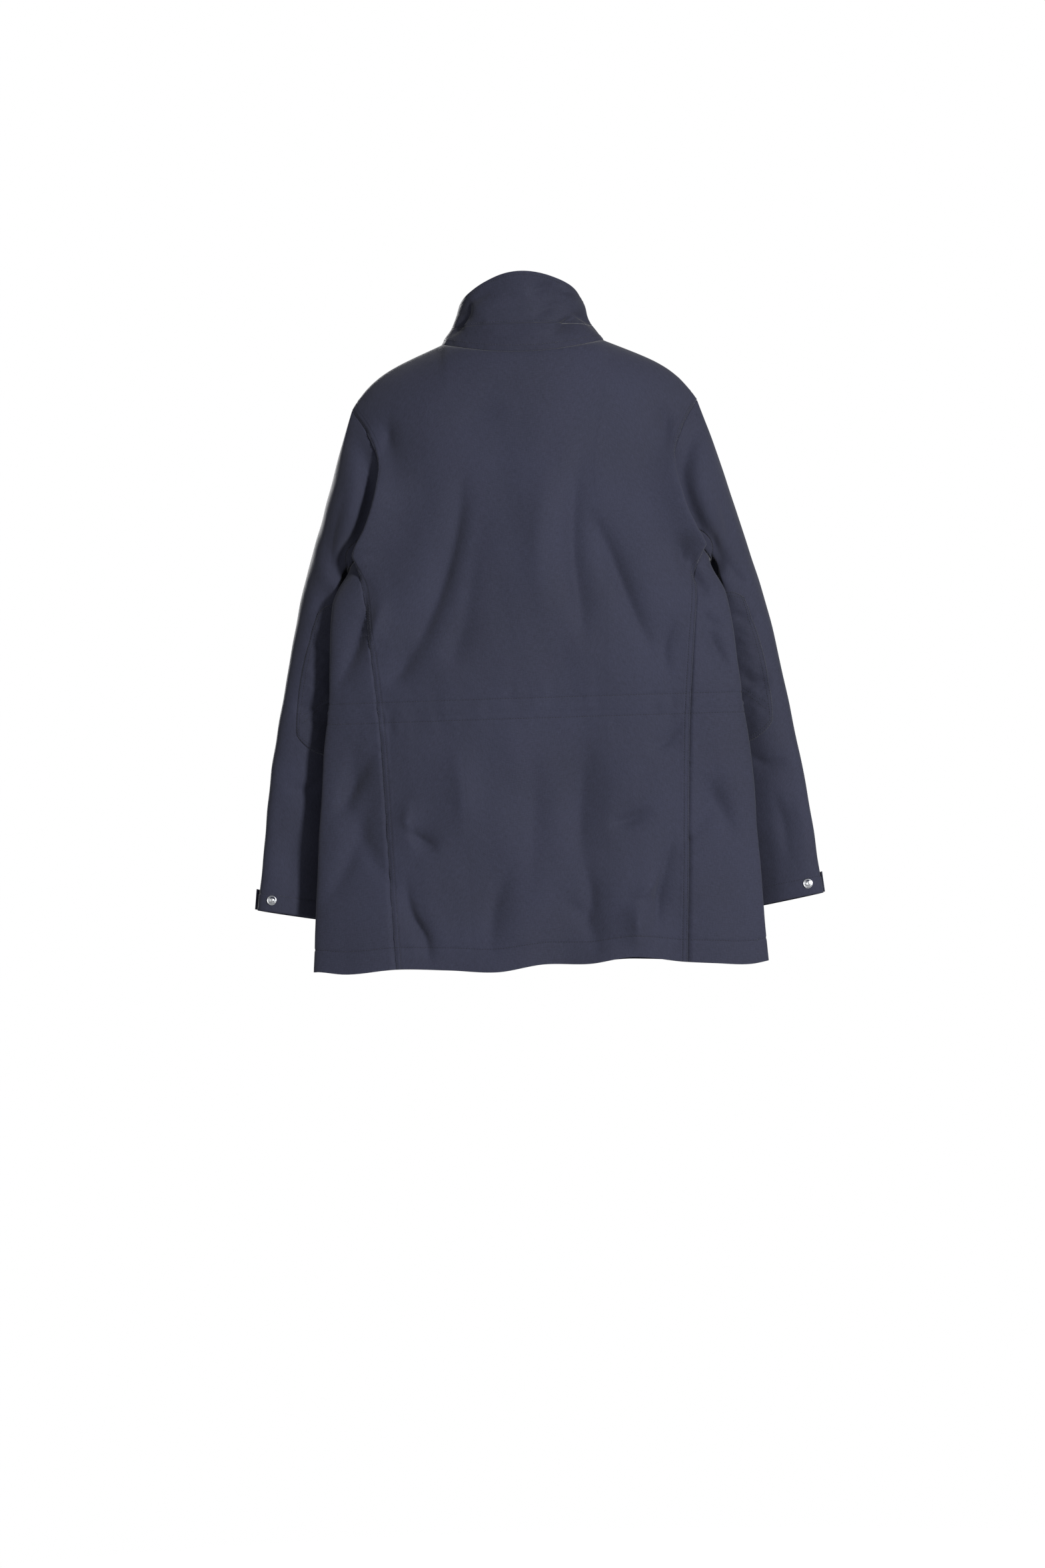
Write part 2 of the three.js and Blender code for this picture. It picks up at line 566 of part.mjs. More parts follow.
// ---------------------------------------------------------------- storm flap and its snaps
// The flap rises over the zip from its hinge seam and comes down again onto the studs beyond it.
function addStormFlap() {
  const { overZipY, onStudsY, thick } = FLAP;
  const back = [
    [FLAP.hingeX, -65.4], [19, overZipY], [-11, overZipY], [-19, onStudsY], [FLAP.edgeX, onStudsY],
  ];
  const face = back.map(([x, y]) => [x, y - thick]).reverse();
  const flap = extruded([...back, ...face], FLAP.top - FLAP.bottom);
  flap.translate(0, 0, FLAP.bottom);
  add('storm_flap', flap, NAVY);
  FLAP_SNAP_Z.forEach((z, i) => {
    const towards = new THREE.Vector3(0, -1, 0);
    const onFlap = new THREE.Vector3(FLAP_SNAP_X, FLAP.onStudsY - FLAP.thick, z);
    add(`flap_snap_cap_${i + 1}`, standOn(snapCap(), onFlap, towards, 0.4), STEEL);
    const onPanel = new THREE.Vector3(FLAP_SNAP_X, -FRONT_DEPTH, z);
    add(`flap_snap_stud_${i + 1}`, standOn(snapStud(), onPanel, towards, 0.4), STEEL);
  });
}

const SNAP_RADIUS = 6.35;
const KNOB_RADIUS = 2.9;
const snapStud = () => lathe([
  [0, 0], [SNAP_RADIUS, 0], [SNAP_RADIUS, 0.9], [KNOB_RADIUS, 1.3], [KNOB_RADIUS, 3.4], [0, 3.4],
]);
const snapCap = () => lathe([[0, 0], [7.4, 0], [6.4, 1.5], [0, 2]]);

// ---------------------------------------------------------------- patch pockets
// The front half by plain x and z, for what is sewn on it.
function chestPoint(x, z) {
  return new THREE.Vector3(x, halfY(FRONT, x, z), z);
}
function chestSurface(x0, x1, z0, z1) {
  const at = (u, v) => chestPoint(lerp(x0, x1, u), lerp(z0, z1, v));
  return surfaceFrom(at, BODY_CORE);
}

function pocketGeometry() {
  const { x0, x1, top, bottom, depth, wall, rim } = POCKET;
  const face = (inset, full) => {
    const surface = chestSurface(x0 + inset, x1 - inset, top, bottom + inset);
    const us = [0, ...steps(6), 1];
    const vs = [...steps(5), 1];
    return vs.map((v, i) => us.map((u, j) => {
      const isRim = j === 0 || j === us.length - 1 || i === vs.length - 1;
      return offsetPoint(surface, u, v, isRim ? rim : full);
    }));
  };
  return bodyBetween(face(0, depth), face(wall, depth - wall));
}

function addPockets() {
  addPair('pocket', pocketGeometry(), NAVY);
  const { margin, top, bottom, over } = POCKET_FLAP;
  const surface = chestSurface(POCKET.x0 - margin, POCKET.x1 + margin, top, bottom);
  const rise = (u, v) => lerp(1.4, over, clamp01(v / 0.27));
  const vs = [0, 0.13, 0.27, 0.6, 1];
  const us = steps(7);
  const face = (u, v) => rise(u, v) + POCKET_FLAP.thick;
  addPair('pocket_flap', bodyBetween(skin(surface, us, vs, rise), skin(surface, us, vs, face)), NAVY);
  const middle = chestSurface(POCKET.x0, POCKET.x1, top, bottom);
  const snapV = 0.74;
  const point = middle.at(0.5, snapV);
  const normal = normalOn(middle, 0.5, snapV);
  addPair('pocket_snap_cap', standOn(snapCap(), point, normal, over + 3.1), STEEL);
  addPair('pocket_snap_stud', standOn(pocketStud(), point, normal, POCKET.depth + 0.3), STEEL);
}
const pocketStud = () => lathe([[0, 0], [5, 0], [5, 0.5], [0, 0.7]]);

// ---------------------------------------------------------------- cuffs
const CUFF_SNAP = { v: 0.977, backDeg: 40, frontDeg: -42 };
const TAB = { fromDeg: -118, toDeg: -26, vFrom: 0.957, vTo: 0.998, thick: 2.2 };

function addCuffs() {
  const whole = sleeveSurface(-180, 180, 0, 1);
  const place = (deg) => [(deg + 180) / 360, CUFF_SNAP.v];
  const stand = (geometry, deg, lift) => {
    const [u, v] = place(deg);
    return standOn(geometry, whole.at(u, v), normalOn(whole, u, v), lift);
  };
  addPair('cuff_stud_back', stand(snapStud(), CUFF_SNAP.backDeg, 0.5), STEEL);
  addPair('cuff_stud_front', stand(snapStud(), CUFF_SNAP.frontDeg, 0.5), STEEL);
  const surface = sleeveSurface(TAB.fromDeg, TAB.toDeg, TAB.vFrom, TAB.vTo);
  const rise = (u) => lerp(1.2, 5.4, clamp01(u / 0.55));
  const us = steps(7);
  const vs = steps(2);
  const face = (u) => rise(u) + TAB.thick;
  addPair('cuff_tab', bodyBetween(skin(surface, us, vs, rise), skin(surface, us, vs, face)), NAVY);
  addPair('cuff_tab_cap', stand(snapCap(), CUFF_SNAP.frontDeg, 8.4), STEEL);
}

addBodyPanels();
addLining();
addWaist();
addSleeves();
addPair('elbow_patch', slab(elbowSurface(), steps(8), steps(9), 1.7, 2.8), NAVY_DEEP);
addCollar();
addHangLoop();
addZip();
addStormFlap();
addPockets();
addCuffs();

export default jacket;
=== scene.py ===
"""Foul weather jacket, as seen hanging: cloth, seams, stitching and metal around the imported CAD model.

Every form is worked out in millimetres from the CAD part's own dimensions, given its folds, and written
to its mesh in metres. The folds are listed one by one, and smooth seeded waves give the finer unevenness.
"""

import math

import bpy
import numpy as np
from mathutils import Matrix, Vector


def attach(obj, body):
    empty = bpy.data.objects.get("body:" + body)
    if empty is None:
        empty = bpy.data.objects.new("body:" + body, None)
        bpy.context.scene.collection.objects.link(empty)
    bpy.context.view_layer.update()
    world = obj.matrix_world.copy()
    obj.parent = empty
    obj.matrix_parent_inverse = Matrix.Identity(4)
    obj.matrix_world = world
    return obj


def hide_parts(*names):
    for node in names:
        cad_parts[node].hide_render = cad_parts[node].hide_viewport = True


MM = 0.001
FORWARD = (0.0, -1.0, 0.0)

# ---------------------------------------------------------------- dimensions shared with the CAD part, mm
HEM_Z = -786.0
NECK_HALF, NECK_SIDE_Z = 105.0, 20.0
SHOULDER_X, SHOULDER_Z, ROUND_DROP = 223.0, -60.0, 80.0
UNDERARM_Z, SIDE_TOP_Z = -264.0, -250.0
FRONT_DEPTH = 64.0
POWER = 1.9
WAIST_Z = -453.0
WAIST_TURN = math.radians(52)
ZIP_BOTTOM, ZIP_TOP, ZIP_CHAIN, ZIP_TAPE, ZIP_EDGE = -765.0, 15.0, 3.2, 16.0, 5.4
FLAP_TOP, FLAP_BOTTOM, FLAP_SNAP_X = -86.0, -772.0, -27.0
FLAP_SNAP_Z = (-130.0, -330.0, -530.0, -730.0)
FLAP_SECTION = ((35.0, -65.6), (19.0, -71.7), (-11.0, -71.7), (-19.0, -68.4), (-36.0, -68.4))
POCKET = {"x0": 70.0, "x1": 200.0, "top": -532.0, "bottom": -702.0, "depth": 12.0}
POCKET_FLAP = {"top": -514.0, "bottom": -574.0, "over": 13.4, "margin": 3.0}
STAND_SHARE = 0.36
BACK_SEAM, FRONT_SEAM = math.radians(128), math.radians(-108)
ELBOW = {"deg": 88.0, "half_deg": 56.0, "v": 0.52, "half_v": 0.157}
CUFF_V, CUFF_BACK, CUFF_FRONT = 0.977, math.radians(40), math.radians(-42)
TAB = {"from": math.radians(-118), "to": math.radians(-26), "v0": 0.957, "v1": 0.998}

# ---------------------------------------------------------------- cloth, mm
CLOTH = 1.3
SEAM_ROWS = (1.7, 6.8)
HEM_ROW_Z = -757.0
WAIST_ROWS = (-440.0, -466.0)
STITCH, STITCH_GAP, THREAD = 2.4, 1.0, 0.36
LINING_THICK, LINING_INSET, UPPER_LINING_INSET = 0.6, 14.0, 10.5
CHANNEL_INSET, CHANNEL_HALF, CORD_INSET, CORD_RADIUS = 11.0, 16.0, 7.0, 1.4
ZIP_ROW, CUFF_ROW, PATCH_ROWS = 6.2, 22.0, (2.0, 6.4)
STORM_ROWS, POCKET_FLAP_ROWS, TAB_ROWS = (3.0, 8.2), (3.0, 8.0), (3.0,)


# ---------------------------------------------------------------- small mathematics
def lerp(a, b, t):
    return a + (b - a) * t


def smoothstep(low, high, x):
    t = np.clip((x - low) / (high - low), 0, 1)
    return t * t * (3 - 2 * t)


def bell(x, width):
    return np.exp(-((x / width) ** 2))


def unit(vectors):
    return vectors / np.maximum(np.linalg.norm(vectors, axis=-1, keepdims=True), 1e-9)


def stack(x, y, z):
    return np.stack(np.broadcast_arrays(x, y, z), axis=-1).astype(float)


def smooth_through(*rows):
    """A smooth function through (x, y) rows with rising x, level beyond its ends."""
    xs, ys = np.array(rows, float).T
    slope = np.empty(len(xs))
    slope[1:-1] = (ys[2:] - ys[:-2]) / (xs[2:] - xs[:-2])
    slope[0] = (ys[1] - ys[0]) / (xs[1] - xs[0])
    slope[-1] = (ys[-1] - ys[-2]) / (xs[-1] - xs[-2])

    def at(x):
        x = np.asarray(x, float)
        i = np.clip(np.searchsorted(xs, x, side="right") - 1, 0, len(xs) - 2)
        span = xs[i + 1] - xs[i]
        t = np.clip((x - xs[i]) / span, 0, 1)
        rise = t * t * (3 - 2 * t)
        bend = t * (1 - t) ** 2 * slope[i] - t * t * (1 - t) * slope[i + 1]
        return ys[i] + (ys[i + 1] - ys[i]) * rise + span * bend

    return at


def arc_lengths(grid):
    """How far along its row each point of a grid lies."""
    steps = np.linalg.norm(np.diff(grid, axis=1), axis=-1)
    return np.pad(np.cumsum(steps, 1), ((0, 0), (1, 0)))


def lifted(points, out, height):
    return points + out * height[..., None]


def with_edges(edge, middle, end=1.0):
    """Places with the same close spacing at both ends."""
    return np.concatenate([edge, middle, end - edge[::-1]])


def graded(start, end, coarse, fine, centres, reach):
    """Places from start to end, closer together near the centres."""
    sign = 1 if end > start else -1
    places = [start]
    while sign * (end - places[-1]) > fine:
        near = min((abs(places[-1] - c) for c in centres), default=reach)
        places.append(places[-1] + sign * lerp(fine, coarse, min(1, near / reach)))
    places[-1] = end
    return np.array(places)


def waves(points, seed, length, stretch=(1, 1, 1), count=16):
    """Smooth seeded unevenness of about unit size; stretch makes its waves longer along an axis."""
    random = np.random.default_rng(seed)
    total = np.zeros(points.shape[:-1])
    for _ in range(count):
        way = random.normal(size=3)
        way *= 2 * math.pi / (length * random.uniform(0.7, 1.5) * np.linalg.norm(way))
        total += np.sin(points @ (way / np.array(stretch)) + random.uniform(0, 2 * math.pi))
    return total / math.sqrt(count / 2)


# ---------------------------------------------------------------- torso form
body_half_width = smooth_through(
    (-786, 293), (-620, 284), (-500, 274), (-430, 265), (-312, 252), (-264, 232), (-60, 226), (30, 226))
back_depth = smooth_through((-786, 62), (-453, 58), (-300, 67), (-150, 74), (0, 66), (30, 62))
armhole_x = smooth_through(
    (-264, 232), (-250, 221), (-215, 201), (-175, 188), (-132, 190), (-88, 206), (-60, 223))
back_seam_x = smooth_through((-786, 187), (-655, 193), (-500, 198), (-415, 204), (-340, 211), (-250, 221))
front_seam_x = smooth_through((-786, 238), (-500, 228), (-340, 222), (-250, 221))
side_y = smooth_through((-786, 20), (-340, 22), (-264, 10), (-150, 3), (-60, 0), (30, 0))


def lens(share):
    return np.maximum(0, 1 - np.abs(share) ** POWER) ** (1 / POWER)


def shoulder_z(x):
    t = np.clip((np.abs(x) - NECK_HALF) / (SHOULDER_X - NECK_HALF), 0, 1)
    return NECK_SIDE_Z - (NECK_SIDE_Z - SHOULDER_Z) * (0.62 * t + 0.38 * t**5)


class Half:
    """The back or the front of the body: its depth, its neckline and the edge that its panel is cut to."""

    def __init__(self, sign, depth, neck_depth, neck_drop, neck_power, seam_x):
        self.sign, self.depth, self.seam_x = sign, depth, seam_x
        self.neck_depth, self.neck_drop, self.neck_power = neck_depth, neck_drop, neck_power

    def y(self, x, z):
        middle = side_y(z)
        return middle + (self.sign * self.depth(z) - middle) * lens(x / body_half_width(z))

    def width(self, z):
        below = np.where(z > SIDE_TOP_Z, armhole_x(z), self.seam_x(z))
        return np.where(z > SHOULDER_Z, SHOULDER_X, below)

    def top(self, x):
        share = np.sqrt(np.maximum(0, 1 - (x / NECK_HALF) ** 2))
        neck_z = NECK_SIDE_Z - self.neck_drop * share**self.neck_power
        at_neck = np.abs(x) < NECK_HALF
        return (
            np.where(at_neck, self.sign * self.neck_depth * share, 0),
            np.where(at_neck, neck_z, shoulder_z(x)),
        )


BACK = Half(1, back_depth, 56.0, 15.5, 2, back_seam_x)
FRONT = Half(-1, lambda z: np.full(np.shape(z), FRONT_DEPTH), 64.0, 95.0, 1.5, front_seam_x)


def section_point(angle, z, inset=0.0):
    """The closed body section by angle: 90 degrees is the middle of the back, 0 the wearer's left side."""
    c, s = np.cos(angle), np.sin(angle)
    far_y = np.where(s > 0, back_depth(z) - inset, inset - FRONT_DEPTH)
    width = body_half_width(z) - 1.4 * inset
    x = width * np.sign(c) * np.abs(c) ** (2 / POWER)
    return stack(x, lerp(side_y(z), far_y, np.abs(s) ** (2 / POWER)), z)


def section_angle(x, z):
    return np.arccos(np.clip(x / body_half_width(z), 0, 1) ** (POWER / 2))


TURNS = np.linspace(0, math.pi / 2, 32)
DESCENT = np.linspace(0, 1, 62)[1:]
LEVEL_TOP = -300.0
LEVELS = graded(LEVEL_TOP, HEM_Z, 3.6, 0.9, (*WAIST_ROWS, HEM_ROW_Z, HEM_Z), 9)[1:]
EDGE_STEPS = np.array([0, 0.5, 1.1, 1.7, 2.4, 3.6, 5, 6.1, 6.8, 7.5, 8.6, 10.5, 13, 16, 19.5])


def across_panel(width=200.0, step=3.6):
    """Shares across a half panel from its middle to its edge, close together where the edge is sewn."""
    edge = 1 - EDGE_STEPS[::-1] / width
    middle = np.linspace(0, edge[0], int(edge[0] * width / step) + 1)[:-1]
    return np.concatenate([middle, edge])


def half_grid(half, shares, inner=0.0):
    """One half of the body from shoulder to hem; inner is how far from the middle its panel starts."""
    side, share = np.where(shares < 0, -1.0, 1.0), np.abs(shares)
    top_x = lerp(inner, SHOULDER_X, share)
    top_y, top_z = half.top(top_x)
    rows = []
    for turn in TURNS:
        z = top_z - ROUND_DROP * (1 - math.cos(turn))
        x = lerp(inner, half.width(z), share)
        rows.append(stack(side * x, lerp(top_y, half.y(x, z), math.sin(turn)), z))
    knee_z = top_z - ROUND_DROP
    for z in [lerp(knee_z, LEVEL_TOP, t) for t in DESCENT] + [np.full(share.shape, z) for z in LEVELS]:
        x = lerp(inner, half.width(z), share)
        rows.append(stack(side * x, half.y(x, z), z))
    return np.array(rows)


def side_grid(side, places):
    """The side panel, from its front seam (-1) to its back seam (1), below the sleeve."""
    rise = SIDE_TOP_Z - UNDERARM_Z
    top_z = UNDERARM_Z + rise * places**2
    heights = [lerp(top_z, LEVEL_TOP, t) for t in np.linspace(0, 1, 16)]
    rows = []
    for z in heights + [np.full(places.shape, z) for z in LEVELS]:
        seam = section_angle(np.where(places > 0, back_seam_x(z), front_seam_x(z)), z)
        opened = np.sqrt(np.maximum(0, z - UNDERARM_Z) / rise)
        start = np.where(z > UNDERARM_Z, section_angle(armhole_x(z), z), 0)
        share = np.clip((np.abs(places) - opened) / np.maximum(1e-6, 1 - opened), 0, 1)
        point = section_point(np.sign(places) * lerp(start, seam, share), z)
        rows.append(point * (side, 1, 1))
    return np.array(rows)


# ---------------------------------------------------------------- sleeve form
inner_x = smooth_through(
    (0, 232), (0.1, 234), (0.2, 231), (0.3, 226), (0.4, 222), (0.5, 221), (0.75, 239), (1, 268))
inner_y = smooth_through(
    (0, 10), (0.1, 2), (0.2, -18), (0.3, -42), (0.4, -59), (0.5, -67), (0.75, -66), (1, -54))
inner_z = smooth_through(
    (0, -264), (0.1, -270), (0.2, -282), (0.3, -310), (0.4, -353), (0.5, -408), (0.75, -562), (1, -722))
outer_y = smooth_through((0, 0), (0.2, -8), (0.4, -16), (1, -14))
sleeve_depth = smooth_through((0, 38), (0.1, 42), (0.3, 44), (0.4, 40), (0.5, 35), (0.75, 27), (1, 20))
sleeve_turn = smooth_through((0, 0), (0.15, 0), (0.4, 26), (0.5, 30), (1, 24))
CUFF_OUTER_X, CUFF_OUTER_Z = 366.0, -703.0
HEAD_SHARE = 0.22
SLEEVE_CLEARANCE, RESTING_SOFTNESS = 1.5, 0.03


def outer_line(v):
    swing = 1.55 * v - 0.62 * v * v + 0.07 * v**3
    return stack(lerp(SHOULDER_X, CUFF_OUTER_X, swing), outer_y(v), lerp(SHOULDER_Z, CUFF_OUTER_Z, v))


def sleeve_ring(angle, v, inset=0.0):
    """A point of the plain sleeve tube and the direction that faces out of it."""
    outer, inner = outer_line(v), stack(inner_x(v), inner_y(v), inner_z(v))
    centre, half = (outer + inner) / 2, (outer - inner) / 2
    length = np.linalg.norm(half, axis=-1, keepdims=True)
    turn = np.radians(sleeve_turn(v))
    across = stack(-np.sin(turn), np.cos(turn), 0)
    cos, sin = np.cos(angle)[..., None], np.sin(angle)[..., None]
    depth = (sleeve_depth(v) - inset)[..., None]
    point = centre + half * (1 - inset / length) * cos + across * depth * sin
    return point, unit(half / length * cos / length + across * sin / depth)


def armhole_point(angle):
    z = lerp(UNDERARM_Z, SHOULDER_Z, 0.5 + 0.5 * np.cos(angle))
    turn = np.arccos(1 - np.clip((SHOULDER_Z - z) / ROUND_DROP, 0, 1))
    x = armhole_x(z)
    y = np.where(np.sin(angle) >= 0, BACK.y(x, z), FRONT.y(x, z))
    return stack(x, y * np.sin(turn), z)


def clear_of_body(p, inset=0.0):
    """Moves what would lie in the body outwards, so that the sleeve rests against its side."""
    x, y, z = np.moveaxis(p, -1, 0)
    gap = (SLEEVE_CLEARANCE + inset) * np.clip((UNDERARM_Z - z) / 40, 0, 1)
    width, middle = body_half_width(z) + 1.4 * gap, side_y(z)
    depth = np.where(y > middle, back_depth(z) - middle, FRONT_DEPTH + middle) + gap
    size = np.abs(x / width) ** POWER + np.abs((y - middle) / depth) ** POWER
    excess = np.minimum((size - 1) / RESTING_SOFTNESS, 30)
    eased = 1 + RESTING_SOFTNESS * np.log1p(np.exp(excess))
    start = np.clip((UNDERARM_Z - z) / 12, 0, 1)
    scale = lerp(1, (np.maximum(eased, size) / size) ** (1 / POWER), start)
    return stack(x * scale, middle + (y - middle) * scale, z)


def sleeve_form(angle, v, inset=0.0):
    angle, v = np.broadcast_arrays(angle, v)
    ring, out = sleeve_ring(angle, v, inset)
    fade = np.maximum(0, 1 - v / HEAD_SHARE) ** 2
    shift = armhole_point(angle) - sleeve_ring(angle, np.zeros(v.shape))[0]
    return clear_of_body(ring + shift * fade[..., None], inset), out


# ---------------------------------------------------------------- folds
def spline(points, count=28):
    """A smooth line through a few given points."""
    points = np.array(points, float)
    places = np.arange(len(points))
    at = np.linspace(0, len(points) - 1, count)
    return np.stack([smooth_through(*zip(places, axis))(at) for axis in points.T], axis=-1)


FOLD_REACH = 4.6


def fold(x, z, line, width, depth, lean=1.0):
    """A valley (depth below 0) or ridge along a line, its sides drawn taut, fading at its ends.

    A lean over 1 makes the side on the left of the line's direction the longer one.
    """
    path = spline(line)
    out = np.zeros(x.shape)
    reach = FOLD_REACH * width * max(lean, 1 / lean)
    low, high = path.min(0) - reach, path.max(0) + reach
    near = (x > low[0]) & (x < high[0]) & (z > low[1]) & (z < high[1])
    p = np.stack([x[near], z[near]], axis=-1)
    best = np.full(len(p), 1e9)
    offset, place = np.zeros(len(p)), np.zeros(len(p))
    for i, (a, b) in enumerate(zip(path[:-1], path[1:])):
        along = b - a
        t = np.clip(((p - a) @ along) / (along @ along), 0, 1)
        apart = p - a - t[:, None] * along
        distance = np.hypot(apart[:, 0], apart[:, 1])
        closer = distance < best
        side = np.sign(along[0] * apart[:, 1] - along[1] * apart[:, 0])
        best = np.where(closer, distance, best)
        offset = np.where(closer, distance * side, offset)
        place = np.where(closer, (i + t) / (len(path) - 1), place)
    spread = np.where(offset > 0, width * lean, width / lean)
    taper = np.sin(math.pi * place) ** 1.6
    crest = 0.28 * width
    away = (np.sqrt(offset**2 + crest**2) - crest) / spread
    shape = np.exp(-away) * (1 - smoothstep(0.5 * FOLD_REACH, 0.95 * FOLD_REACH, away))
    out[near] = depth * taper * shape
    return out


# What the depths of the folds below are multiplied by.
BACK_RELIEF, FRONT_RELIEF, SLEEVE_RELIEF = 3.9, 3.0, 2.3
# Each fold: the points of its line as (x, z), its width, its depth and its lean.
BACK_FOLDS = (
    (((80, -120), (89, -201), (110, -281), (143, -361), (183, -428)), 15, -4.2, 1.3),
    (((57, -190), (87, -344), (114, -405)), 20, -2.4, 1),
    (((-76, -105), (-61, -175), (-56, -255), (-63, -330), (-67, -388)), 15, -4.0, 0.75),
    (((-73, -194), (-102, -251), (-131, -332), (-166, -420)), 14, -3.8, 1.3),
    (((172, -60), (186, -124), (194, -190)), 13, -3.0, 1),
    (((-176, -50), (-186, -100), (-190, -150)), 12, -3.0, 1),
    (((209, -268), (217, -334), (244, -401), (259, -430)), 9, -3.4, 1.2),
    (((188, -300), (200, -345), (214, -392)), 10, 2.4, 1),
    (((-188, -228), (-201, -290)), 7, -3.2, 0.8),
    (((-203, -256), (-231, -322)), 7, -3.6, 1.2),
    (((-222, -350), (-262, -430)), 9, -3.4, 1.2),
    (((197, -484), (236, -544), (278, -610)), 11, -3.4, 1.2),
    (((199, -525), (245, -637), (280, -702)), 12, -3.2, 0.8),
    (((172, -650), (167, -708), (149, -746), (143, -785)), 8, -3.0, 1.4),
    (((182, -600), (150, -618), (126, -632)), 7, -2.8, 0.8),
    (((-1, -500), (5, -595), (10, -700)), 24, -2.6, 1),
    (((-70, -490), (-55, -584), (-58, -675)), 20, -3.4, 0.8),
    (((-86, -606), (-118, -600), (-152, -586)), 8, -2.2, 1),
    (((-182, -596), (-157, -675), (-150, -718), (-143, -796)), 8, -3.3, 0.75),
    (((-120, -700), (-124, -740), (-121, -786)), 14, 4.0, 1),
    (((-205, -532), (-235, -584), (-256, -640)), 11, -3.2, 1.2),
    (((110, -486), (96, -560), (100, -650)), 22, 2.4, 1),
    (((-58, -640), (-66, -700), (-58, -742)), 11, -2.6, 0.8),
    (((-196, -470), (-168, -500), (-140, -512)), 8, -1.8, 1.3),
    (((232, -470), (240, -540), (262, -590)), 8, -2.2, 1.2),
    (((176, -690), (214, -640), (246, -560)), 10, -2.2, 1.2),
    (((-178, -640), (-214, -600), (-240, -540)), 9, -2.4, 0.8),
    (((-166, -650), (-140, -690), (-112, -700)), 8, 1.8, 1),
    (((162, -560), (168, -600), (156, -640)), 8, 1.8, 1),
    (((-186, -340), (-170, -380), (-176, -430)), 9, -1.8, 1),
    (((-214, -330), (-236, -352), (-256, -350)), 7, -1.8, 1.2),
    (((196, -420), (170, -400), (150, -360)), 10, -1.6, 0.8),
    (((20, -70), (60, -76), (112, -90)), 14, -1.0, 1),
    (((-25, -140), (-12, -240), (-16, -350)), 30, 2.2, 1),
    (((30, -640), (60, -710), (64, -780)), 16, -2.4, 1),
    (((-20, -690), (-60, -730), (-76, -786)), 15, -2.2, 1),
)
FRONT_FOLDS = (
    (((70, -150), (96, -230), (140, -330), (176, -420)), 16, -3.6, 1.2),
    (((-64, -140), (-90, -250), (-150, -372)), 16, -3.8, 0.8),
    (((150, -110), (168, -180), (172, -250)), 12, -3.0, 1),
    (((-146, -100), (-164, -170), (-176, -240)), 12, -3.2, 1),
    (((206, -292), (222, -360), (240, -430)), 10, -3.2, 1),
    (((-204, -286), (-224, -350), (-244, -425)), 9, -3.4, 1),
    (((215, -480), (240, -560), (256, -660)), 12, -3.2, 0.8),
    (((-212, -486), (-236, -570), (-250, -650)), 12, -3.4, 1.2),
    (((120, -704), (132, -740), (128, -785)), 12, -2.6, 1),
    (((-116, -706), (-140, -745), (-146, -785)), 12, -2.8, 1),
)
# The height of the hem's edge on the back, over its level line.
hem_rise = smooth_through(
    (-300, -1), (-270, -6), (-225, -2), (-178, 2), (-140, 8), (-111, 10), (-60, 3), (-1, 4), (58, -4),
    (120, 0), (188, 3), (253, -2), (290, 4))

ARMHOLE_RING = armhole_point(np.linspace(0, 2 * math.pi, 90))


def from_armhole(points):
    """How far points lie from the seam of the nearer sleeve."""
    flat = points.reshape(-1, 3).copy()
    flat[:, 0] = np.abs(flat[:, 0])
    best = np.full(len(flat), 1e9)
    for p in ARMHOLE_RING:
        best = np.minimum(best, ((flat - p) ** 2).sum(1))
    return np.sqrt(best).reshape(points.shape[:-1])


def torso_out(points):
    """The direction that faces out of the body, level on its sides and upright on its shoulders."""
    x, y, z = np.moveaxis(points, -1, 0)
    middle = side_y(z)
    depth = np.where(y > middle, back_depth(z) - middle, FRONT_DEPTH + middle)
    level = unit(stack(x / body_half_width(z) ** 2, (y - middle) / depth**2, 0))
    up = np.clip(1 - (shoulder_z(x) - z) / ROUND_DROP, 0, 1) ** 2
    return unit(level * (1 - up)[..., None] + stack(0, 0, up))


def waist_relief(points):
    """The sewn channel: a dip at each stitched row, the cord's ridge between, and the cloth drawn in."""
    z = points[..., 2]
    apart = np.abs(z - WAIST_Z)
    pucker = waves(points, 31, 24, (1, 1, 3)) + 0.5 * waves(points, 32, 9, (1, 1, 3))
    rows = sum(bell(z - row, 1.3) for row in WAIST_ROWS)
    cord = bell(z - WAIST_Z - 1.2 * waves(points, 33, 90), 1.7)
    drawn = bell(apart, 26) * pucker * 0.55 * np.abs(waves(points, 34, 120))
    return -0.6 * rows + 1.5 * cord + drawn - 1.6 * bell(apart, 44)


def under_pocket(x, z):
    """1 where the front lies flat under a pocket and its flap, 0 beyond them."""
    wide = smoothstep(52, 66, np.abs(x)) * smoothstep(222, 206, np.abs(x))
    return wide * smoothstep(-720, -706, z) * smoothstep(-496, -510, z)


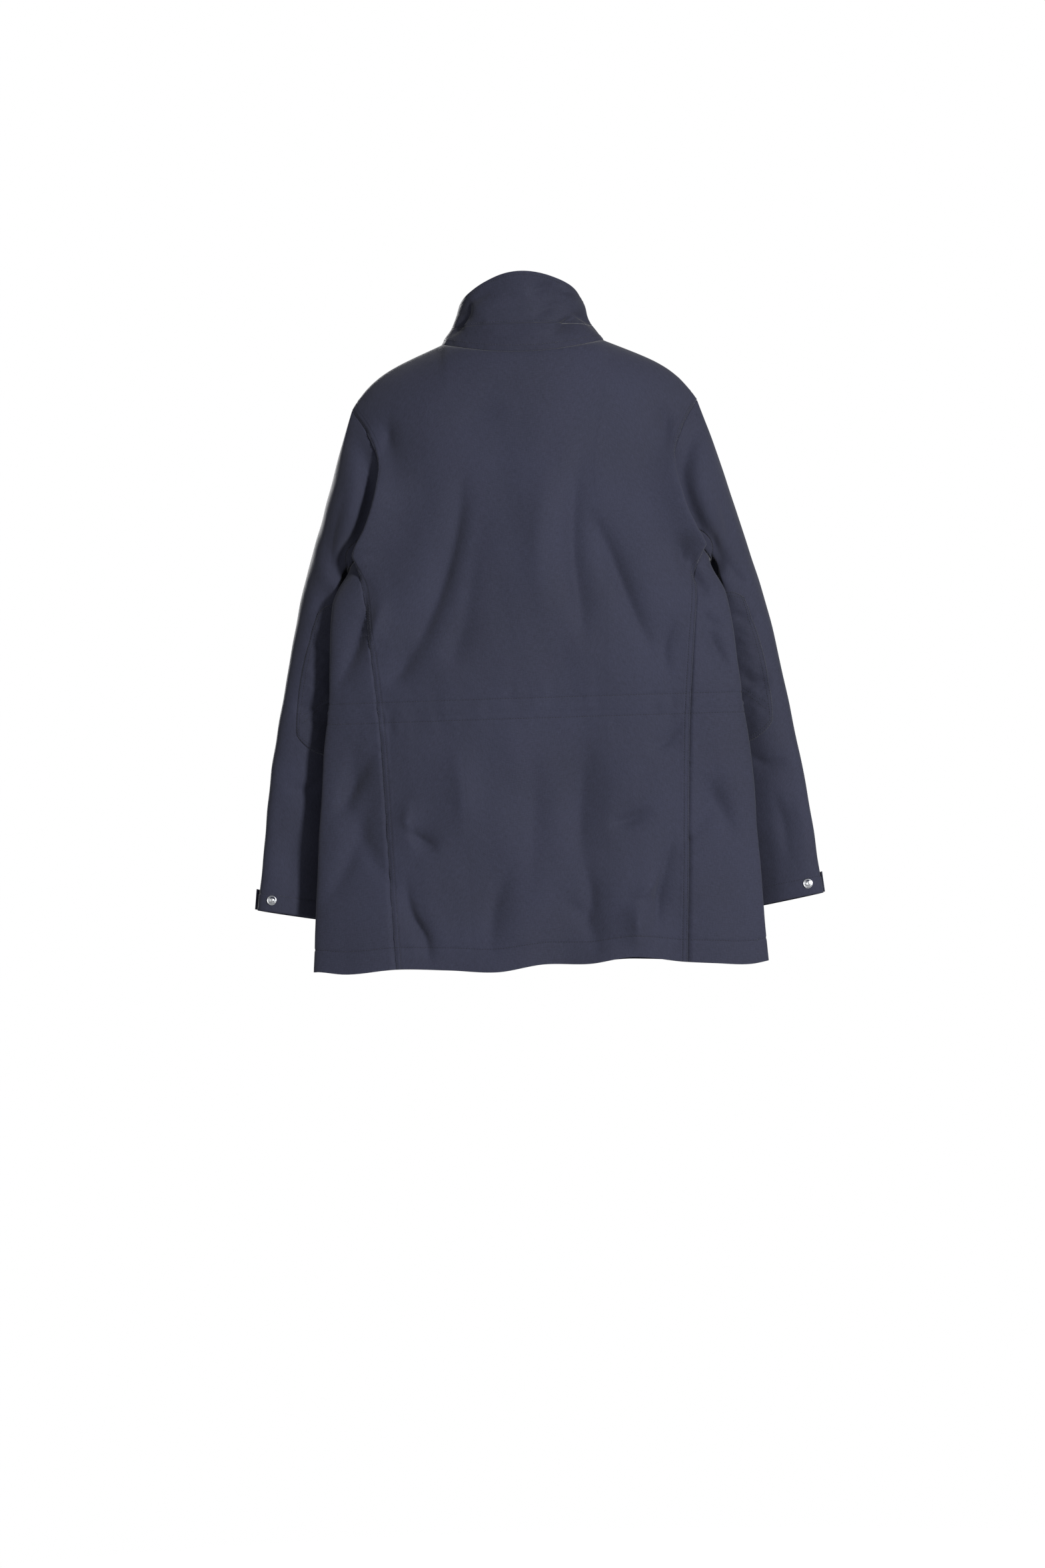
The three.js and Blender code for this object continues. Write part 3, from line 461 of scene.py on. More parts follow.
def torso_offset(points):
    """How the body's cloth lies off its plain form. It depends on the place alone, so seams stay shut."""
    x, y, z = np.moveaxis(points, -1, 0)
    back = smoothstep(-10, 34, y - side_y(z))
    height = BACK_RELIEF * sum(fold(x, z, *f) for f in BACK_FOLDS) * back
    front = (1 - back) * smoothstep(30, 60, np.abs(x))
    height += FRONT_RELIEF * sum(fold(x, z, *f) for f in FRONT_FOLDS) * front
    loose = smoothstep(20, -160, z) * lerp(smoothstep(34, 90, np.abs(x)), 1, back)
    height += loose * (2.2 * waves(points, 1, 150, (1, 1, 2.2)) + 0.3 * waves(points, 2, 46, (1, 1, 1.8)))
    height += 0.05 * waves(points, 3, 17) * lerp(0.4, 1, loose)
    height += waist_relief(points) * lerp(smoothstep(60, 200, np.abs(x)), 1, back)
    height += loose * 3.0 * waves(points, 4, 130, (1, 1, 9)) * smoothstep(-600, HEM_Z, z)
    height -= 0.8 * bell(z - HEM_ROW_Z, 1.3) * lerp(smoothstep(34, 60, np.abs(x)), 1, back)
    height *= (1 - under_pocket(x, z) * (1 - back)) * smoothstep(0, 26, from_armhole(points))
    offset = torso_out(points) * height[..., None]
    lift = smoothstep(-690, HEM_Z, z) * lerp(0.35, 1, back) * hem_rise(x)
    offset[..., 2] += lift * smoothstep(20, 60, np.abs(x) + 60 * back)
    return offset


def armhole_drape(points, edge):
    """The back's cloth hangs over the sleeve seam in a soft roll; edge is the distance to that seam."""
    z = points[..., 2]
    amount = smoothstep(-100, -185, z) * smoothstep(-292, -235, z)
    roll = edge / 9 * np.exp(1 - edge / 9)
    side = np.sign(points[..., 0])
    return stack(side * 17 * roll, 15 * roll, 0) * amount[..., None]


def seam_relief(points, edge, rows=SEAM_ROWS, raised=0.5, puckers=0.35):
    """The thicker edge of a panel: allowances under it, a dip at each stitched row and fine puckers."""
    last = rows[-1]
    height = raised * (1 - smoothstep(last + 1, last + 3.5, edge))
    height -= sum(0.5 * bell(edge - row, 0.8) for row in rows)
    height -= (raised + 0.2) * (1 - smoothstep(0, 1.1, edge))
    height += puckers * (waves(points, 21, 11) + 0.7 * waves(points, 22, 24)) * np.exp(-edge / 11)
    return height


def sewn_rim(rim, rows, drop=0.7, reach=1.4):
    """A dip at each stitched row of a flap, and its edge turned down."""
    return -0.3 * sum(bell(rim - row, 0.7) for row in rows) - drop * (1 - smoothstep(0, reach, rim))


SLEEVE_FOLDS = (
    (((232, -150), (252, -214), (262, -280)), 11, -3.4, 1.2),
    (((262, -120), (284, -200), (292, -270)), 14, 2.2, 1),
    (((250, -268), (272, -300), (300, -318)), 8, -2.6, 1),
    (((252, -340), (276, -352), (304, -346)), 8, -2.0, 1),
    (((262, -420), (290, -436), (322, -430)), 9, -2.8, 1.2),
    (((268, -520), (296, -540), (330, -536)), 9, -2.4, 0.8),
    (((300, -560), (318, -620), (324, -680)), 13, -2.4, 1),
    (((330, -470), (344, -560), (352, -640)), 12, -1.8, 1),
)
SLEEVE_FOLD_SHIFT, ELBOW_BEND_Z = 7.0, -420.0


def sleeve_surface(side, angle, v, inset=0.0, folded=True):
    """A point of one sleeve with its folds, and the direction out of it."""
    plain, out = sleeve_form(angle, v, inset)
    mirror = np.array([side, 1.0, 1.0])
    plain, out = plain * mirror, out * mirror
    if not folded:
        return plain, out
    x, z = plain[..., 0] * side, plain[..., 2]
    cos, sin = (f(np.broadcast_to(angle, x.shape)) for f in (np.cos, np.sin))
    back = smoothstep(-0.2, 0.5, sin)
    shifted = z + SLEEVE_FOLD_SHIFT * side
    height = SLEEVE_RELIEF * sum(fold(x, shifted, *f) for f in SLEEVE_FOLDS) * lerp(0.6, 1, back)
    height *= smoothstep(1, 0.72, cos)
    near = from_armhole(plain)
    head = smoothstep(0, 60, near)
    height += head * (1.5 * waves(plain, 5, 130, (1, 1, 2.6)) + 0.3 * waves(plain, 6, 34, (1, 1, 1.4)))
    bend = bell(z - ELBOW_BEND_Z, 70) * smoothstep(0.3, -0.9, cos)
    height += 1.8 * bend * waves(plain, 8, 26, (3, 3, 1))
    height *= smoothstep(0, 20, near)
    height -= 11 * bell(near - 14, 13) * back * smoothstep(-80, -150, z)
    return lifted(plain, out, height), out


# ---------------------------------------------------------------- collar form
COLLAR_TOP_HALF, COLLAR_BACK_Y, COLLAR_BULGE = 79.0, 50.0, -2.5
COLLAR_SIDE_TOP, COLLAR_BACK_TOP, COLLAR_FRONT_TOP = 75.0, 108.0, 22.0
COLLAR_RELIEF = 3.4
COLLAR_FOLDS = (
    (((-30, 20), (-52, 36), (-70, 46), (-90, 50)), 6, -3.2, 1.4),
    (((-62, 56), (-84, 50), (-97, 38), (-114, 14)), 6, -4.0, 0.7),
    (((-40, 82), (-60, 80), (-80, 75)), 5, 1.8, 0.8),
    (((-4, 78), (-26, 85), (-50, 94)), 7, -1.8, 1.2),
    (((-8, 46), (-32, 58), (-56, 68)), 7, -1.4, 1),
    (((92, 52), (62, 74), (36, 87), (-10, 95)), 10, -2.0, 1.2),
    (((104, 22), (82, 42), (70, 58), (70, 80)), 6, -3.4, 0.7),
    (((76, 34), (72, 50), (70, 68)), 4, 1.6, 1),
)


def collar_form(angle, share, inset=0.0):
    angle, share = np.broadcast_arrays(angle, share)
    c, s = np.cos(angle), np.sin(angle)
    height, back = np.abs(s), s > 0
    depth = np.where(back, lerp(56.0, COLLAR_BACK_Y, share), 64.0)
    low = NECK_SIDE_Z - np.where(back, 15.5 * height**2, 95 * height**1.5)
    rise = np.where(
        back,
        (COLLAR_BACK_TOP - COLLAR_SIDE_TOP) * height**1.9,
        (COLLAR_FRONT_TOP - COLLAR_SIDE_TOP) * height**1.2,
    )
    bulge = COLLAR_BULGE * np.sin(math.pi * share) * np.where(back, 1, np.abs(c)) - inset
    x = (lerp(NECK_HALF, COLLAR_TOP_HALF, share) + bulge) * c
    return stack(x, (depth + bulge) * s, lerp(low, COLLAR_SIDE_TOP + rise, share))


def collar_surface(angle, share, inset=0.0):
    plain = collar_form(angle, share, inset)
    out = unit(plain * (1, 1.6, 0) + (0, 0, 1e-6))
    x, y, z = np.moveaxis(plain, -1, 0)
    share = np.broadcast_to(share, x.shape)
    free = smoothstep(0.02, 0.25, share) * smoothstep(-58, -30, y)
    height = COLLAR_RELIEF * sum(fold(x, z, *f) for f in COLLAR_FOLDS) * smoothstep(-10, 20, y)
    height += 1.5 * waves(plain, 11, 60, (1.6, 1.6, 1)) + 0.4 * waves(plain, 12, 22, (2, 2, 1))
    return lifted(plain, out, height * free), out


# ---------------------------------------------------------------- meshes
def grid_normals(grid, outward, wraps=False):
    if wraps:
        ring = np.concatenate([grid[:, -1:], grid, grid[:, :1]], axis=1)
        along = (ring[:, 2:] - ring[:, :-2]) / 2
    else:
        along = np.gradient(grid, axis=1)
    normal = unit(np.cross(along, np.gradient(grid, axis=0)))
    if (normal * outward).sum() < 0:
        normal = -normal
    return normal


def grid_faces(rows, cols, wraps):
    """Faces of a closed sheet: its outer side, its inner side and the rim between them."""
    index = np.arange(2 * rows * cols).reshape(2, rows, cols)
    if wraps:
        index = np.concatenate([index, index[:, :, :1]], axis=2)
    outer, inner = index

    def strip(a, b):
        return np.stack([a[:-1], a[1:], b[1:], b[:-1]], axis=-1)

    skin = np.concatenate([strip(a, b) for a, b in zip(outer[:-1], outer[1:])])
    back = np.concatenate([strip(b, a) for a, b in zip(inner[:-1], inner[1:])])
    rims = [strip(inner[0], outer[0]), strip(outer[-1], inner[-1])]
    if not wraps:
        rims += [strip(outer[:, 0], inner[:, 0]), strip(inner[:, -1], outer[:, -1])]
    return np.concatenate([skin, back]), np.concatenate(rims)


def link(name, vertices, faces, material, body, smooth=True):
    """Makes an object of a mesh given in millimetres, riding on a body."""
    mesh = bpy.data.meshes.new(name)
    mesh.from_pydata((np.asarray(vertices) * MM).tolist(), [], [list(map(int, f)) for f in faces])
    mesh.materials.append(material)
    mesh.polygons.foreach_set("use_smooth", np.full(len(mesh.polygons), smooth))
    mesh.update()
    item = bpy.data.objects.new(name, mesh)
    bpy.context.scene.collection.objects.link(item)
    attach(item, body)
    return item


class Cloth:
    """A sheet of cloth on a grid of points, with what its stitching needs."""

    def __init__(self, name, grid, outward, material, body="jacket", rest=None, thick=CLOTH, wraps=False):
        self.name, self.grid, self.rest = name, grid, grid if rest is None else rest
        self.normal = grid_normals(grid, outward, wraps)
        rows, cols = grid.shape[:2]
        inner = lifted(grid, -self.normal, np.broadcast_to(thick, (rows, cols)))
        skin, rims = grid_faces(rows, cols, wraps)
        faces = np.concatenate([skin, rims])
        if np.cross(grid[0, 1] - grid[0, 0], grid[1, 0] - grid[0, 0]) @ self.normal[0, 0] >= 0:
            faces = faces[:, ::-1]
        vertices = np.concatenate([grid.reshape(-1, 3), inner.reshape(-1, 3)])
        self.item = link(name, vertices, faces, material, body)
        self.item.data.polygons.foreach_set("use_smooth", np.arange(len(faces)) < len(skin))
        self.lay_threads()

    def lay_threads(self):
        """Stores where each point lies on the flat cloth, in metres, for the weave."""
        u = arc_lengths(self.grid)
        v = arc_lengths(self.grid.swapaxes(0, 1)).T
        self.width, self.length = u[:, -1].max() * MM, v[-1].max() * MM
        u = u - u[:, [u.shape[1] // 2]]
        flat = np.stack([u, v, np.zeros(u.shape)], axis=-1).reshape(-1, 3) * MM
        attribute = self.item.data.attributes.new("thread", "FLOAT_VECTOR", "POINT")
        attribute.data.foreach_set("vector", np.concatenate([flat, flat]).ravel().astype(np.float32))

    def stands_for(self, node):
        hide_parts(node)
        flat = (round(self.width, 3), round(self.length, 3))
        return self

    def inset(self, edge, distance, start=0.0, end=1.0):
        """The line that runs a distance in from an edge, between two shares of that edge."""
        grid, normal = self.grid, self.normal
        if edge in ("top", "bottom"):
            grid, normal = grid.swapaxes(0, 1), normal.swapaxes(0, 1)
        if edge in ("right", "bottom"):
            grid, normal = grid[:, ::-1], normal[:, ::-1]
        arcs = arc_lengths(grid)
        first, last = int(start * (len(grid) - 1)), int(end * (len(grid) - 1)) + 1
        lines = []
        for source in (grid, normal):
            lines.append(np.array([
                [np.interp(distance, arc, row[:, k]) for k in range(3)]
                for arc, row in zip(arcs[first:last], source[first:last])
            ]))
        return lines

    def level(self, z, start=0.0, end=1.0):
        """The line that ran level at height z before the cloth was given its folds."""
        cols = self.grid.shape[1]
        first, last = int(start * (cols - 1)), int(end * (cols - 1)) + 1
        lines = []
        for source in (self.grid, self.normal):
            lines.append(np.array([
                [np.interp(-z, -self.rest[:, j, 2], source[:, j, k]) for k in range(3)]
                for j in range(first, last)
            ]))
        return lines

    def along(self, us, vs):
        """The line through shares (u, v) of the grid."""
        rows, cols = self.grid.shape[:2]
        i, j = np.asarray(vs) * (rows - 1), np.asarray(us) * (cols - 1)
        i0, j0 = np.minimum(i.astype(int), rows - 2), np.minimum(j.astype(int), cols - 2)
        a, b = (i - i0)[:, None], (j - j0)[:, None]
        return [
            lerp(lerp(s[i0, j0], s[i0, j0 + 1], b), lerp(s[i0 + 1, j0], s[i0 + 1, j0 + 1], b), a)
            for s in (self.grid, self.normal)
        ]


def hung(node, grid, out, material, body="jacket", **options):
    """A sheet that stands for one CAD node, whose part it hides."""
    return Cloth(node + "_cloth", grid, out, material, body, **options).stands_for(node)


def lathe(profile, segments=40):
    """A closed turned solid, from (radius, height) rows that start and end on its axis."""
    angles = np.linspace(0, 2 * math.pi, segments, endpoint=False)
    inside = profile[1:-1]
    vertices = [(0, 0, profile[0][1])]
    vertices += [(r * math.cos(a), r * math.sin(a), h) for r, h in inside for a in angles]
    vertices.append((0, 0, profile[-1][1]))
    faces = []
    for j in range(segments):
        k = (j + 1) % segments
        faces.append((0, 1 + k, 1 + j))
        for i in range(len(inside) - 1):
            a, b = 1 + i * segments, 1 + (i + 1) * segments
            faces.append((a + j, a + k, b + k, b + j))
        end = 1 + (len(inside) - 1) * segments
        faces.append((end + j, end + k, len(vertices) - 1))
    return np.array(vertices), faces


def stood_on(vertices, point, normal):
    """Turns a solid made along +Z to stand at a point, along a normal."""
    turn = np.array(Vector(normal).to_track_quat("Z", "Y").to_matrix())
    return vertices @ turn.T + np.asarray(point)


# ---------------------------------------------------------------- stitching
def stitch_shape():
    """One stitch: five-sided rings along a thread whose ends dive into the cloth."""
    places, sizes = (-0.5, -0.3, 0.3, 0.5), (0.45, 1.0, 1.0, 0.45)
    rings = [
        [(t * STITCH, THREAD * s * math.cos(a), THREAD * s * math.sin(a) + 0.22 * (1 - (2 * t) ** 4) - 0.12)
         for a in np.linspace(0, 2 * math.pi, 5, endpoint=False)]
        for t, s in zip(places, sizes)
    ]
    faces = []
    for i in range(3):
        for j in range(5):
            k = (j + 1) % 5
            faces.append((5 * i + j, 5 * i + k, 5 * i + 5 + k, 5 * i + 5 + j))
    caps = [(4, 3, 2, 1, 0), (15, 16, 17, 18, 19)]
    return np.array(rings).reshape(-1, 3), faces, caps


class Thread:
    """All the stitches of one body, joined in one piece."""

    SHAPE, SIDES, CAPS = stitch_shape()

    def __init__(self, body):
        self.body, self.vertices, self.faces, self.count = body, [], [], 0

    def sew(self, line):
        points, normals = line
        steps = np.linalg.norm(np.diff(points, axis=0), axis=1)
        arc = np.r_[0, np.cumsum(steps)]
        pitch = STITCH + STITCH_GAP
        count = int(arc[-1] / pitch)
        if count < 1:
            return
        middles = (np.arange(count) + 0.5) * arc[-1] / count

        def at(places, source):
            return np.stack([np.interp(places, arc, source[:, k]) for k in range(3)], axis=-1)

        centre = at(middles, points)
        along = unit(at(middles + STITCH / 2, points) - at(middles - STITCH / 2, points))
        up = unit(at(middles, normals))
        side = np.cross(up, along)
        shape = self.SHAPE
        solid = (
            centre[:, None]
            + shape[None, :, :1] * along[:, None]
            + shape[None, :, 1:2] * side[:, None]
            + shape[None, :, 2:] * up[:, None]
        )
        self.vertices.append(solid.reshape(-1, 3))
        for i in range(count):
            start = (self.count + i) * len(shape)
            self.faces += [tuple(start + k for k in face) for face in (*self.SIDES, *self.CAPS)]
        self.count += count

    def sew_edges(self, piece, edges, rows, start=0.0, end=1.0):
        for row in rows:
            for edge in edges:
                self.sew(piece.inset(edge, row, start, end))

    def finish(self, name):
        return link(name, np.concatenate(self.vertices), self.faces, THREAD_NAVY_AND_DIP_SHADE, self.body)


# ---------------------------------------------------------------- materials
class Shader:
    """A material's node tree, with short calls for the nodes that this scene uses."""

    def __init__(self, name, slot):
        self.material = bpy.data.materials.new(name)
        self.material.use_nodes = True
        self.material["slot"] = slot
        self.tree = self.material.node_tree
        self.bsdf = self.tree.nodes["Principled BSDF"]

    def node(self, kind, inputs=(), **settings):
        node = self.tree.nodes.new(kind)
        for key, value in settings.items():
            setattr(node, key, value)
        for key, value in dict(inputs).items():
            self.set(node.inputs[key], value)
        return node

    def set(self, socket, value):
        if isinstance(value, bpy.types.NodeSocket):
            self.tree.links.new(value, socket)
        else:
            socket.default_value = value

    def math(self, operation, *values):
        node = self.node("ShaderNodeMath", operation=operation)
        for socket, value in zip(node.inputs, values):
            self.set(socket, value)
        return node.outputs[0]

    def noise(self, vector, scale, detail=2.0):
        node = self.node("ShaderNodeTexNoise", {"Vector": vector, "Scale": scale, "Detail": detail})
        return node.outputs["Fac"]

    def stretched(self, vector, scale):
        return self.node("ShaderNodeMapping", {"Vector": vector, "Scale": scale}).outputs[0]

    def mix(self, share, low, high):
        node = self.node("ShaderNodeMix", data_type="RGBA")
        for key, value in ((0, share), (6, low), (7, high)):
            self.set(node.inputs[key], value)
        return node.outputs[2]

    def bump(self, height, distance, strength=1.0, normal=None):
        inputs = {"Height": height, "Distance": distance, "Strength": strength}
        node = self.node("ShaderNodeBump", inputs)
        if normal is not None:
            self.set(node.inputs["Normal"], normal)
        return node.outputs[0]


def rgba(color, scale=1.0):
    return (*(c * scale for c in color), 1.0)


YARN_M = 0.0005


def woven(name, slot, color, roughness=0.8, sheen=0.12, weave=0.00010, crumple=0.0009, spread=0.8):
    """Plain-woven cloth: crossing yarns, uneven yarn shades and faint creasing."""
    s = Shader(name, slot)
    thread = s.node("ShaderNodeAttribute", attribute_name="thread").outputs["Vector"]
    place = s.node("ShaderNodeTexCoord").outputs["Object"]
    parts = s.node("ShaderNodeSeparateXYZ", {"Vector": thread})
    turns = math.pi / YARN_M
    warp = s.math("SINE", s.math("MULTIPLY", parts.outputs["X"], turns))
    weft = s.math("SINE", s.math("MULTIPLY", parts.outputs["Y"], turns))
    cross = s.math("MULTIPLY", warp, weft)
    slub_across = s.noise(s.stretched(thread, (150, 900, 1)), 1.0, 2)
    slub_down = s.noise(s.stretched(thread, (900, 150, 1)), 1.0, 2)
    slub = s.math("ADD", slub_across, slub_down)
    cloudy = s.noise(place, 9, 3)
    shade = s.math("ADD", s.math("MULTIPLY", slub, 0.36), s.math("MULTIPLY", cloudy, 0.3))
    base = s.mix(shade, rgba(color, 1 - spread), rgba(color, 1 + spread))
    s.set(s.bsdf.inputs["Base Color"], base)
    crease = s.noise(place, 95, 4)
    soft = s.bump(crease, crumple, 0.6)
    fibres = s.math("ADD", s.math("MULTIPLY", cross, 0.5), slub)
    s.set(s.bsdf.inputs["Normal"], s.bump(fibres, weave, 0.8, soft))
    worn = s.math("MULTIPLY_ADD", cloudy, 0.12, roughness - 0.06)
    s.set(s.bsdf.inputs["Roughness"], worn)
    s.bsdf.inputs["Sheen Weight"].default_value = sheen
    s.bsdf.inputs["Sheen Roughness"].default_value = 0.45
    s.bsdf.inputs["Specular IOR Level"].default_value = 0.2
    return s.material


def metal(name, slot, color, roughness):
    """Plated metal with faint turning marks and handling wear."""
    s = Shader(name, slot)
    place = s.node("ShaderNodeTexCoord").outputs["Object"]
    wear = s.noise(place, 420, 4)
    s.set(s.bsdf.inputs["Base Color"], s.mix(wear, rgba(color, 0.86), rgba(color, 1.08)))
    s.set(s.bsdf.inputs["Roughness"], s.math("MULTIPLY_ADD", wear, 0.16, roughness - 0.08))
    s.set(s.bsdf.inputs["Normal"], s.bump(s.noise(place, 2600, 2), 0.00002, 0.5))
    s.bsdf.inputs["Metallic"].default_value = 1.0
    return s.material


NAVY = (0.0176, 0.0190, 0.0345)
SHELL = woven("shell_cloth", "navy_shell", NAVY)
TRIM = woven("trim_cloth", "navy_trim", tuple(c * 0.88 for c in NAVY))
LINING = woven("lining_cloth", "lining", (0.02, 0.022, 0.031), roughness=0.5, sheen=0.1, crumple=0.0003)
TAPE = woven("zip_tape_cloth", "zip_tape", (0.017, 0.019, 0.029), crumple=0.0001)
CORD = woven("cord_braid", "cord", (0.03, 0.033, 0.052), weave=0.0002)
# The thread's own dark navy, made darker still: painted shade for the shadowed dips between stitches.
THREAD_NAVY_AND_DIP_SHADE = woven("sewing_thread_and_painted_dip_shade", "navy_trim", (0.012, 0.013, 0.021), roughness=0.5, sheen=0.1)
STEEL = metal("snap_metal", "snap_steel", (0.50, 0.51, 0.53), 0.3)
ZIP_METAL = metal("zip_metal", "zip_metal", (0.30, 0.31, 0.34), 0.36)


# ---------------------------------------------------------------- camera, light and floor
CAMERA_DISTANCE, CAMERA_X, CAMERA_Z = 6.0, 0.018, -0.55
FRAME_HEIGHT, SENSOR, CAMERA_ROLL = 2.028, 36.0, math.radians(1.8)
FLOOR_Z, FLOOR_REACH = -1.9, 2.4
SKY_COLOR, SKY_STRENGTH = (0.97, 0.985, 1.0), 0.27
LIGHTS = (
    ("key", (-2.6, 3.8, 0.5), 0.6, 330),
    ("fill", (2.6, 4.2, 0.0), 1.4, 52),
    ("front_key", (1.9, -4.0, 0.9), 0.9, 290),
)


def add_camera():
    data = bpy.data.cameras.new("camera")
    data.sensor_fit, data.sensor_height = "VERTICAL", SENSOR
    data.lens = SENSOR * CAMERA_DISTANCE / FRAME_HEIGHT
    camera = bpy.data.objects.new("camera", data)
    camera.location = (CAMERA_X, CAMERA_DISTANCE, CAMERA_Z)
    camera.rotation_euler = (math.pi / 2, CAMERA_ROLL, math.pi)
    bpy.context.scene.collection.objects.link(camera)
    bpy.context.scene.camera = camera


def add_light(name, place, size, power):
    data = bpy.data.lights.new(name, "AREA")
    data.size, data.energy = size, power
    lamp = bpy.data.objects.new(name, data)
    lamp.location = place
    lamp.rotation_euler = (Vector((0, 0, -0.35)) - Vector(place)).to_track_quat("-Z", "Y").to_euler()
    bpy.context.scene.collection.objects.link(lamp)


def add_world():
    """Soft light from all around, before a plain white background."""
    world = bpy.data.worlds.new("studio")
    bpy.context.scene.world = world
    world.use_nodes = True
    tree = world.node_tree
    seen = tree.nodes["Background"]
    seen.inputs["Color"].default_value = (1, 1, 1, 1)
    soft = tree.nodes.new("ShaderNodeBackground")
    soft.inputs["Color"].default_value = (*SKY_COLOR, 1)
    soft.inputs["Strength"].default_value = SKY_STRENGTH
    rays, mix = tree.nodes.new("ShaderNodeLightPath"), tree.nodes.new("ShaderNodeMixShader")
    tree.links.new(rays.outputs["Is Camera Ray"], mix.inputs[0])
    tree.links.new(soft.outputs[0], mix.inputs[1])
    tree.links.new(seen.outputs[0], mix.inputs[2])
    tree.links.new(mix.outputs[0], tree.nodes["World Output"].inputs["Surface"])


def add_floor():
    """A pale floor that fades into the background at its rim."""
    turns = [2 * math.pi * i / 48 for i in range(48)]
    mesh = bpy.data.meshes.new("floor")
    rim = [(FLOOR_REACH * math.cos(t), FLOOR_REACH * math.sin(t), FLOOR_Z) for t in turns]
    mesh.from_pydata(rim, [], [range(len(rim))])
    s = Shader("floor_paint", "floor")
    s.bsdf.inputs["Base Color"].default_value = (0.93, 0.93, 0.93, 1)
    place = s.node("ShaderNodeTexCoord").outputs["Object"]
    level = s.node("ShaderNodeMapping", {"Vector": place, "Scale": (1 / FLOOR_REACH, 1 / FLOOR_REACH, 0)})
    fade = s.node("ShaderNodeTexGradient", {"Vector": level.outputs[0]}, gradient_type="SPHERICAL")
    s.set(s.bsdf.inputs["Alpha"], s.math("SMOOTH_MIN", fade.outputs["Fac"], 1.0, 0.2))
    mesh.materials.append(s.material)
    floor = bpy.data.objects.new("floor", mesh)
    bpy.context.scene.collection.objects.link(floor)


def add_studio():
    bpy.context.scene.view_settings.view_transform = "Standard"
    add_world()
    for light in LIGHTS:
        add_light(*light)
    add_floor()


# ---------------------------------------------------------------- body panels
def torso_cloth(name, rest, edges, drape=None):
    """One panel of the body. edges holds what seam_relief takes for each of its sewn edges."""
    offset = torso_offset(rest)
    out = torso_out(rest)
    for edge in edges:
        offset += out * seam_relief(rest, *edge)[..., None]
    if drape is not None:
        offset += armhole_drape(rest, drape)
    return hung(name, rest + offset, out, SHELL, rest=rest)


def add_back(sewing):
    half = across_panel()
    shares = np.concatenate([-half[:0:-1], half])
    rest = half_grid(BACK, shares)
    edge = (1 - np.abs(shares)) * BACK.width(rest[..., 2])
    piece = torso_cloth("back_panel", rest, [(edge,)], drape=edge)
    sewing.sew_edges(piece, ("left", "right"), SEAM_ROWS, 0.04)
    for z in (*WAIST_ROWS, HEM_ROW_Z):
        sewing.sew(piece.level(z, 0.02, 0.98))


ZIP_STEPS = np.array([0, 0.6, 1.4, 2.4, 4, 5.4, 6.2, 7, 8.4, 10.5, 13])


def add_front(side, name, sewing):
    shares = across_panel()
    shares = np.concatenate([ZIP_STEPS / 200, shares[shares > 15 / 200]])
    rest = half_grid(FRONT, shares, ZIP_EDGE) * (side, 1, 1)
    width = FRONT.width(rest[..., 2]) - ZIP_EDGE
    piece = torso_cloth(name, rest, [((1 - shares) * width,), (shares * width, (ZIP_ROW,), 0.4, 0.08)])
    sewing.sew_edges(piece, ("right",), SEAM_ROWS, 0.04)
    sewing.sew(piece.inset("left", ZIP_ROW, 0.01))
    sewing.sew(piece.level(HEM_ROW_Z, 0.06, 0.98))


def add_side(side, name, sewing):
    steps = with_edges(np.array([0, 0.02]), np.linspace(0.05, 0.95, 34))
    rest = side_grid(side, 2 * steps - 1)
    out = torso_out(rest)
    arc = arc_lengths(rest)
    edge = np.minimum(arc, arc[:, -1:] - arc)
    low = -0.4 * (1 - smoothstep(0, 4, edge)) + 0.3 * waves(rest, 21, 11) * np.exp(-edge / 11)
    piece = hung(name, lifted(rest + torso_offset(rest), out, low), out, SHELL, rest=rest)
    for z in WAIST_ROWS:
        sewing.sew(piece.level(z, 0.45, 1))
    sewing.sew(piece.level(HEM_ROW_Z))


# ---------------------------------------------------------------- linings, waist channel and cord
def hang_lining(name, rest, ripple, **options):
    """Lining that follows the folds of the shell outside it, with a ripple of its own."""
    out = torso_out(rest)
    hung(name, lifted(rest + torso_offset(rest), out, ripple), out, LINING, **options)


def add_body_lining():
    angles = np.linspace(0, 2 * math.pi, 150, endpoint=False)
    levels = np.linspace(-272, -763, 90)[:, None]
    rest = section_point(angles[None], levels, LINING_INSET)
    ripple = 0.8 * waves(rest, 41, 70, (1, 1, 3)) + 0.3 * waves(rest, 42, 24, (1, 1, 2))
    hang_lining("body_lining", rest, ripple, thick=LINING_THICK, wraps=True)


TURN_SHARE = 0.2  # of an upper lining's length, over which it turns over the shoulder


def add_upper_lining(name, half, shares):
    rest = []
    side, share = np.sign(shares), np.abs(shares)
    top_y, top_z = half.top(share * SHOULDER_X)
    for t in np.linspace(0.05, 1, 60):
        turn = math.pi / 2 * min(1, t / TURN_SHARE)
        z = top_z - ROUND_DROP * (1 - math.cos(turn))
        if t >= TURN_SHARE:
            z = lerp(top_z - ROUND_DROP, UNDERARM_Z - 10, (t - TURN_SHARE) / (1 - TURN_SHARE))
        x = share * half.width(z)
        rest.append(stack(side * x, lerp(top_y, half.y(x, z), math.sin(turn)), z))
    rest = np.array(rest)
    ripple = 0.6 * waves(rest, 43, 60, (1, 1, 2)) - UPPER_LINING_INSET
    hang_lining(name, rest, ripple, thick=LINING_THICK)


def add_upper_linings():
    chest = np.linspace(0.1, 0.93, 44)
    add_upper_lining("upper_back_lining", BACK, np.linspace(-0.95, 0.95, 90))
    add_upper_lining("upper_front_lining_left", FRONT, chest)
    add_upper_lining("upper_front_lining_right", FRONT, -chest)


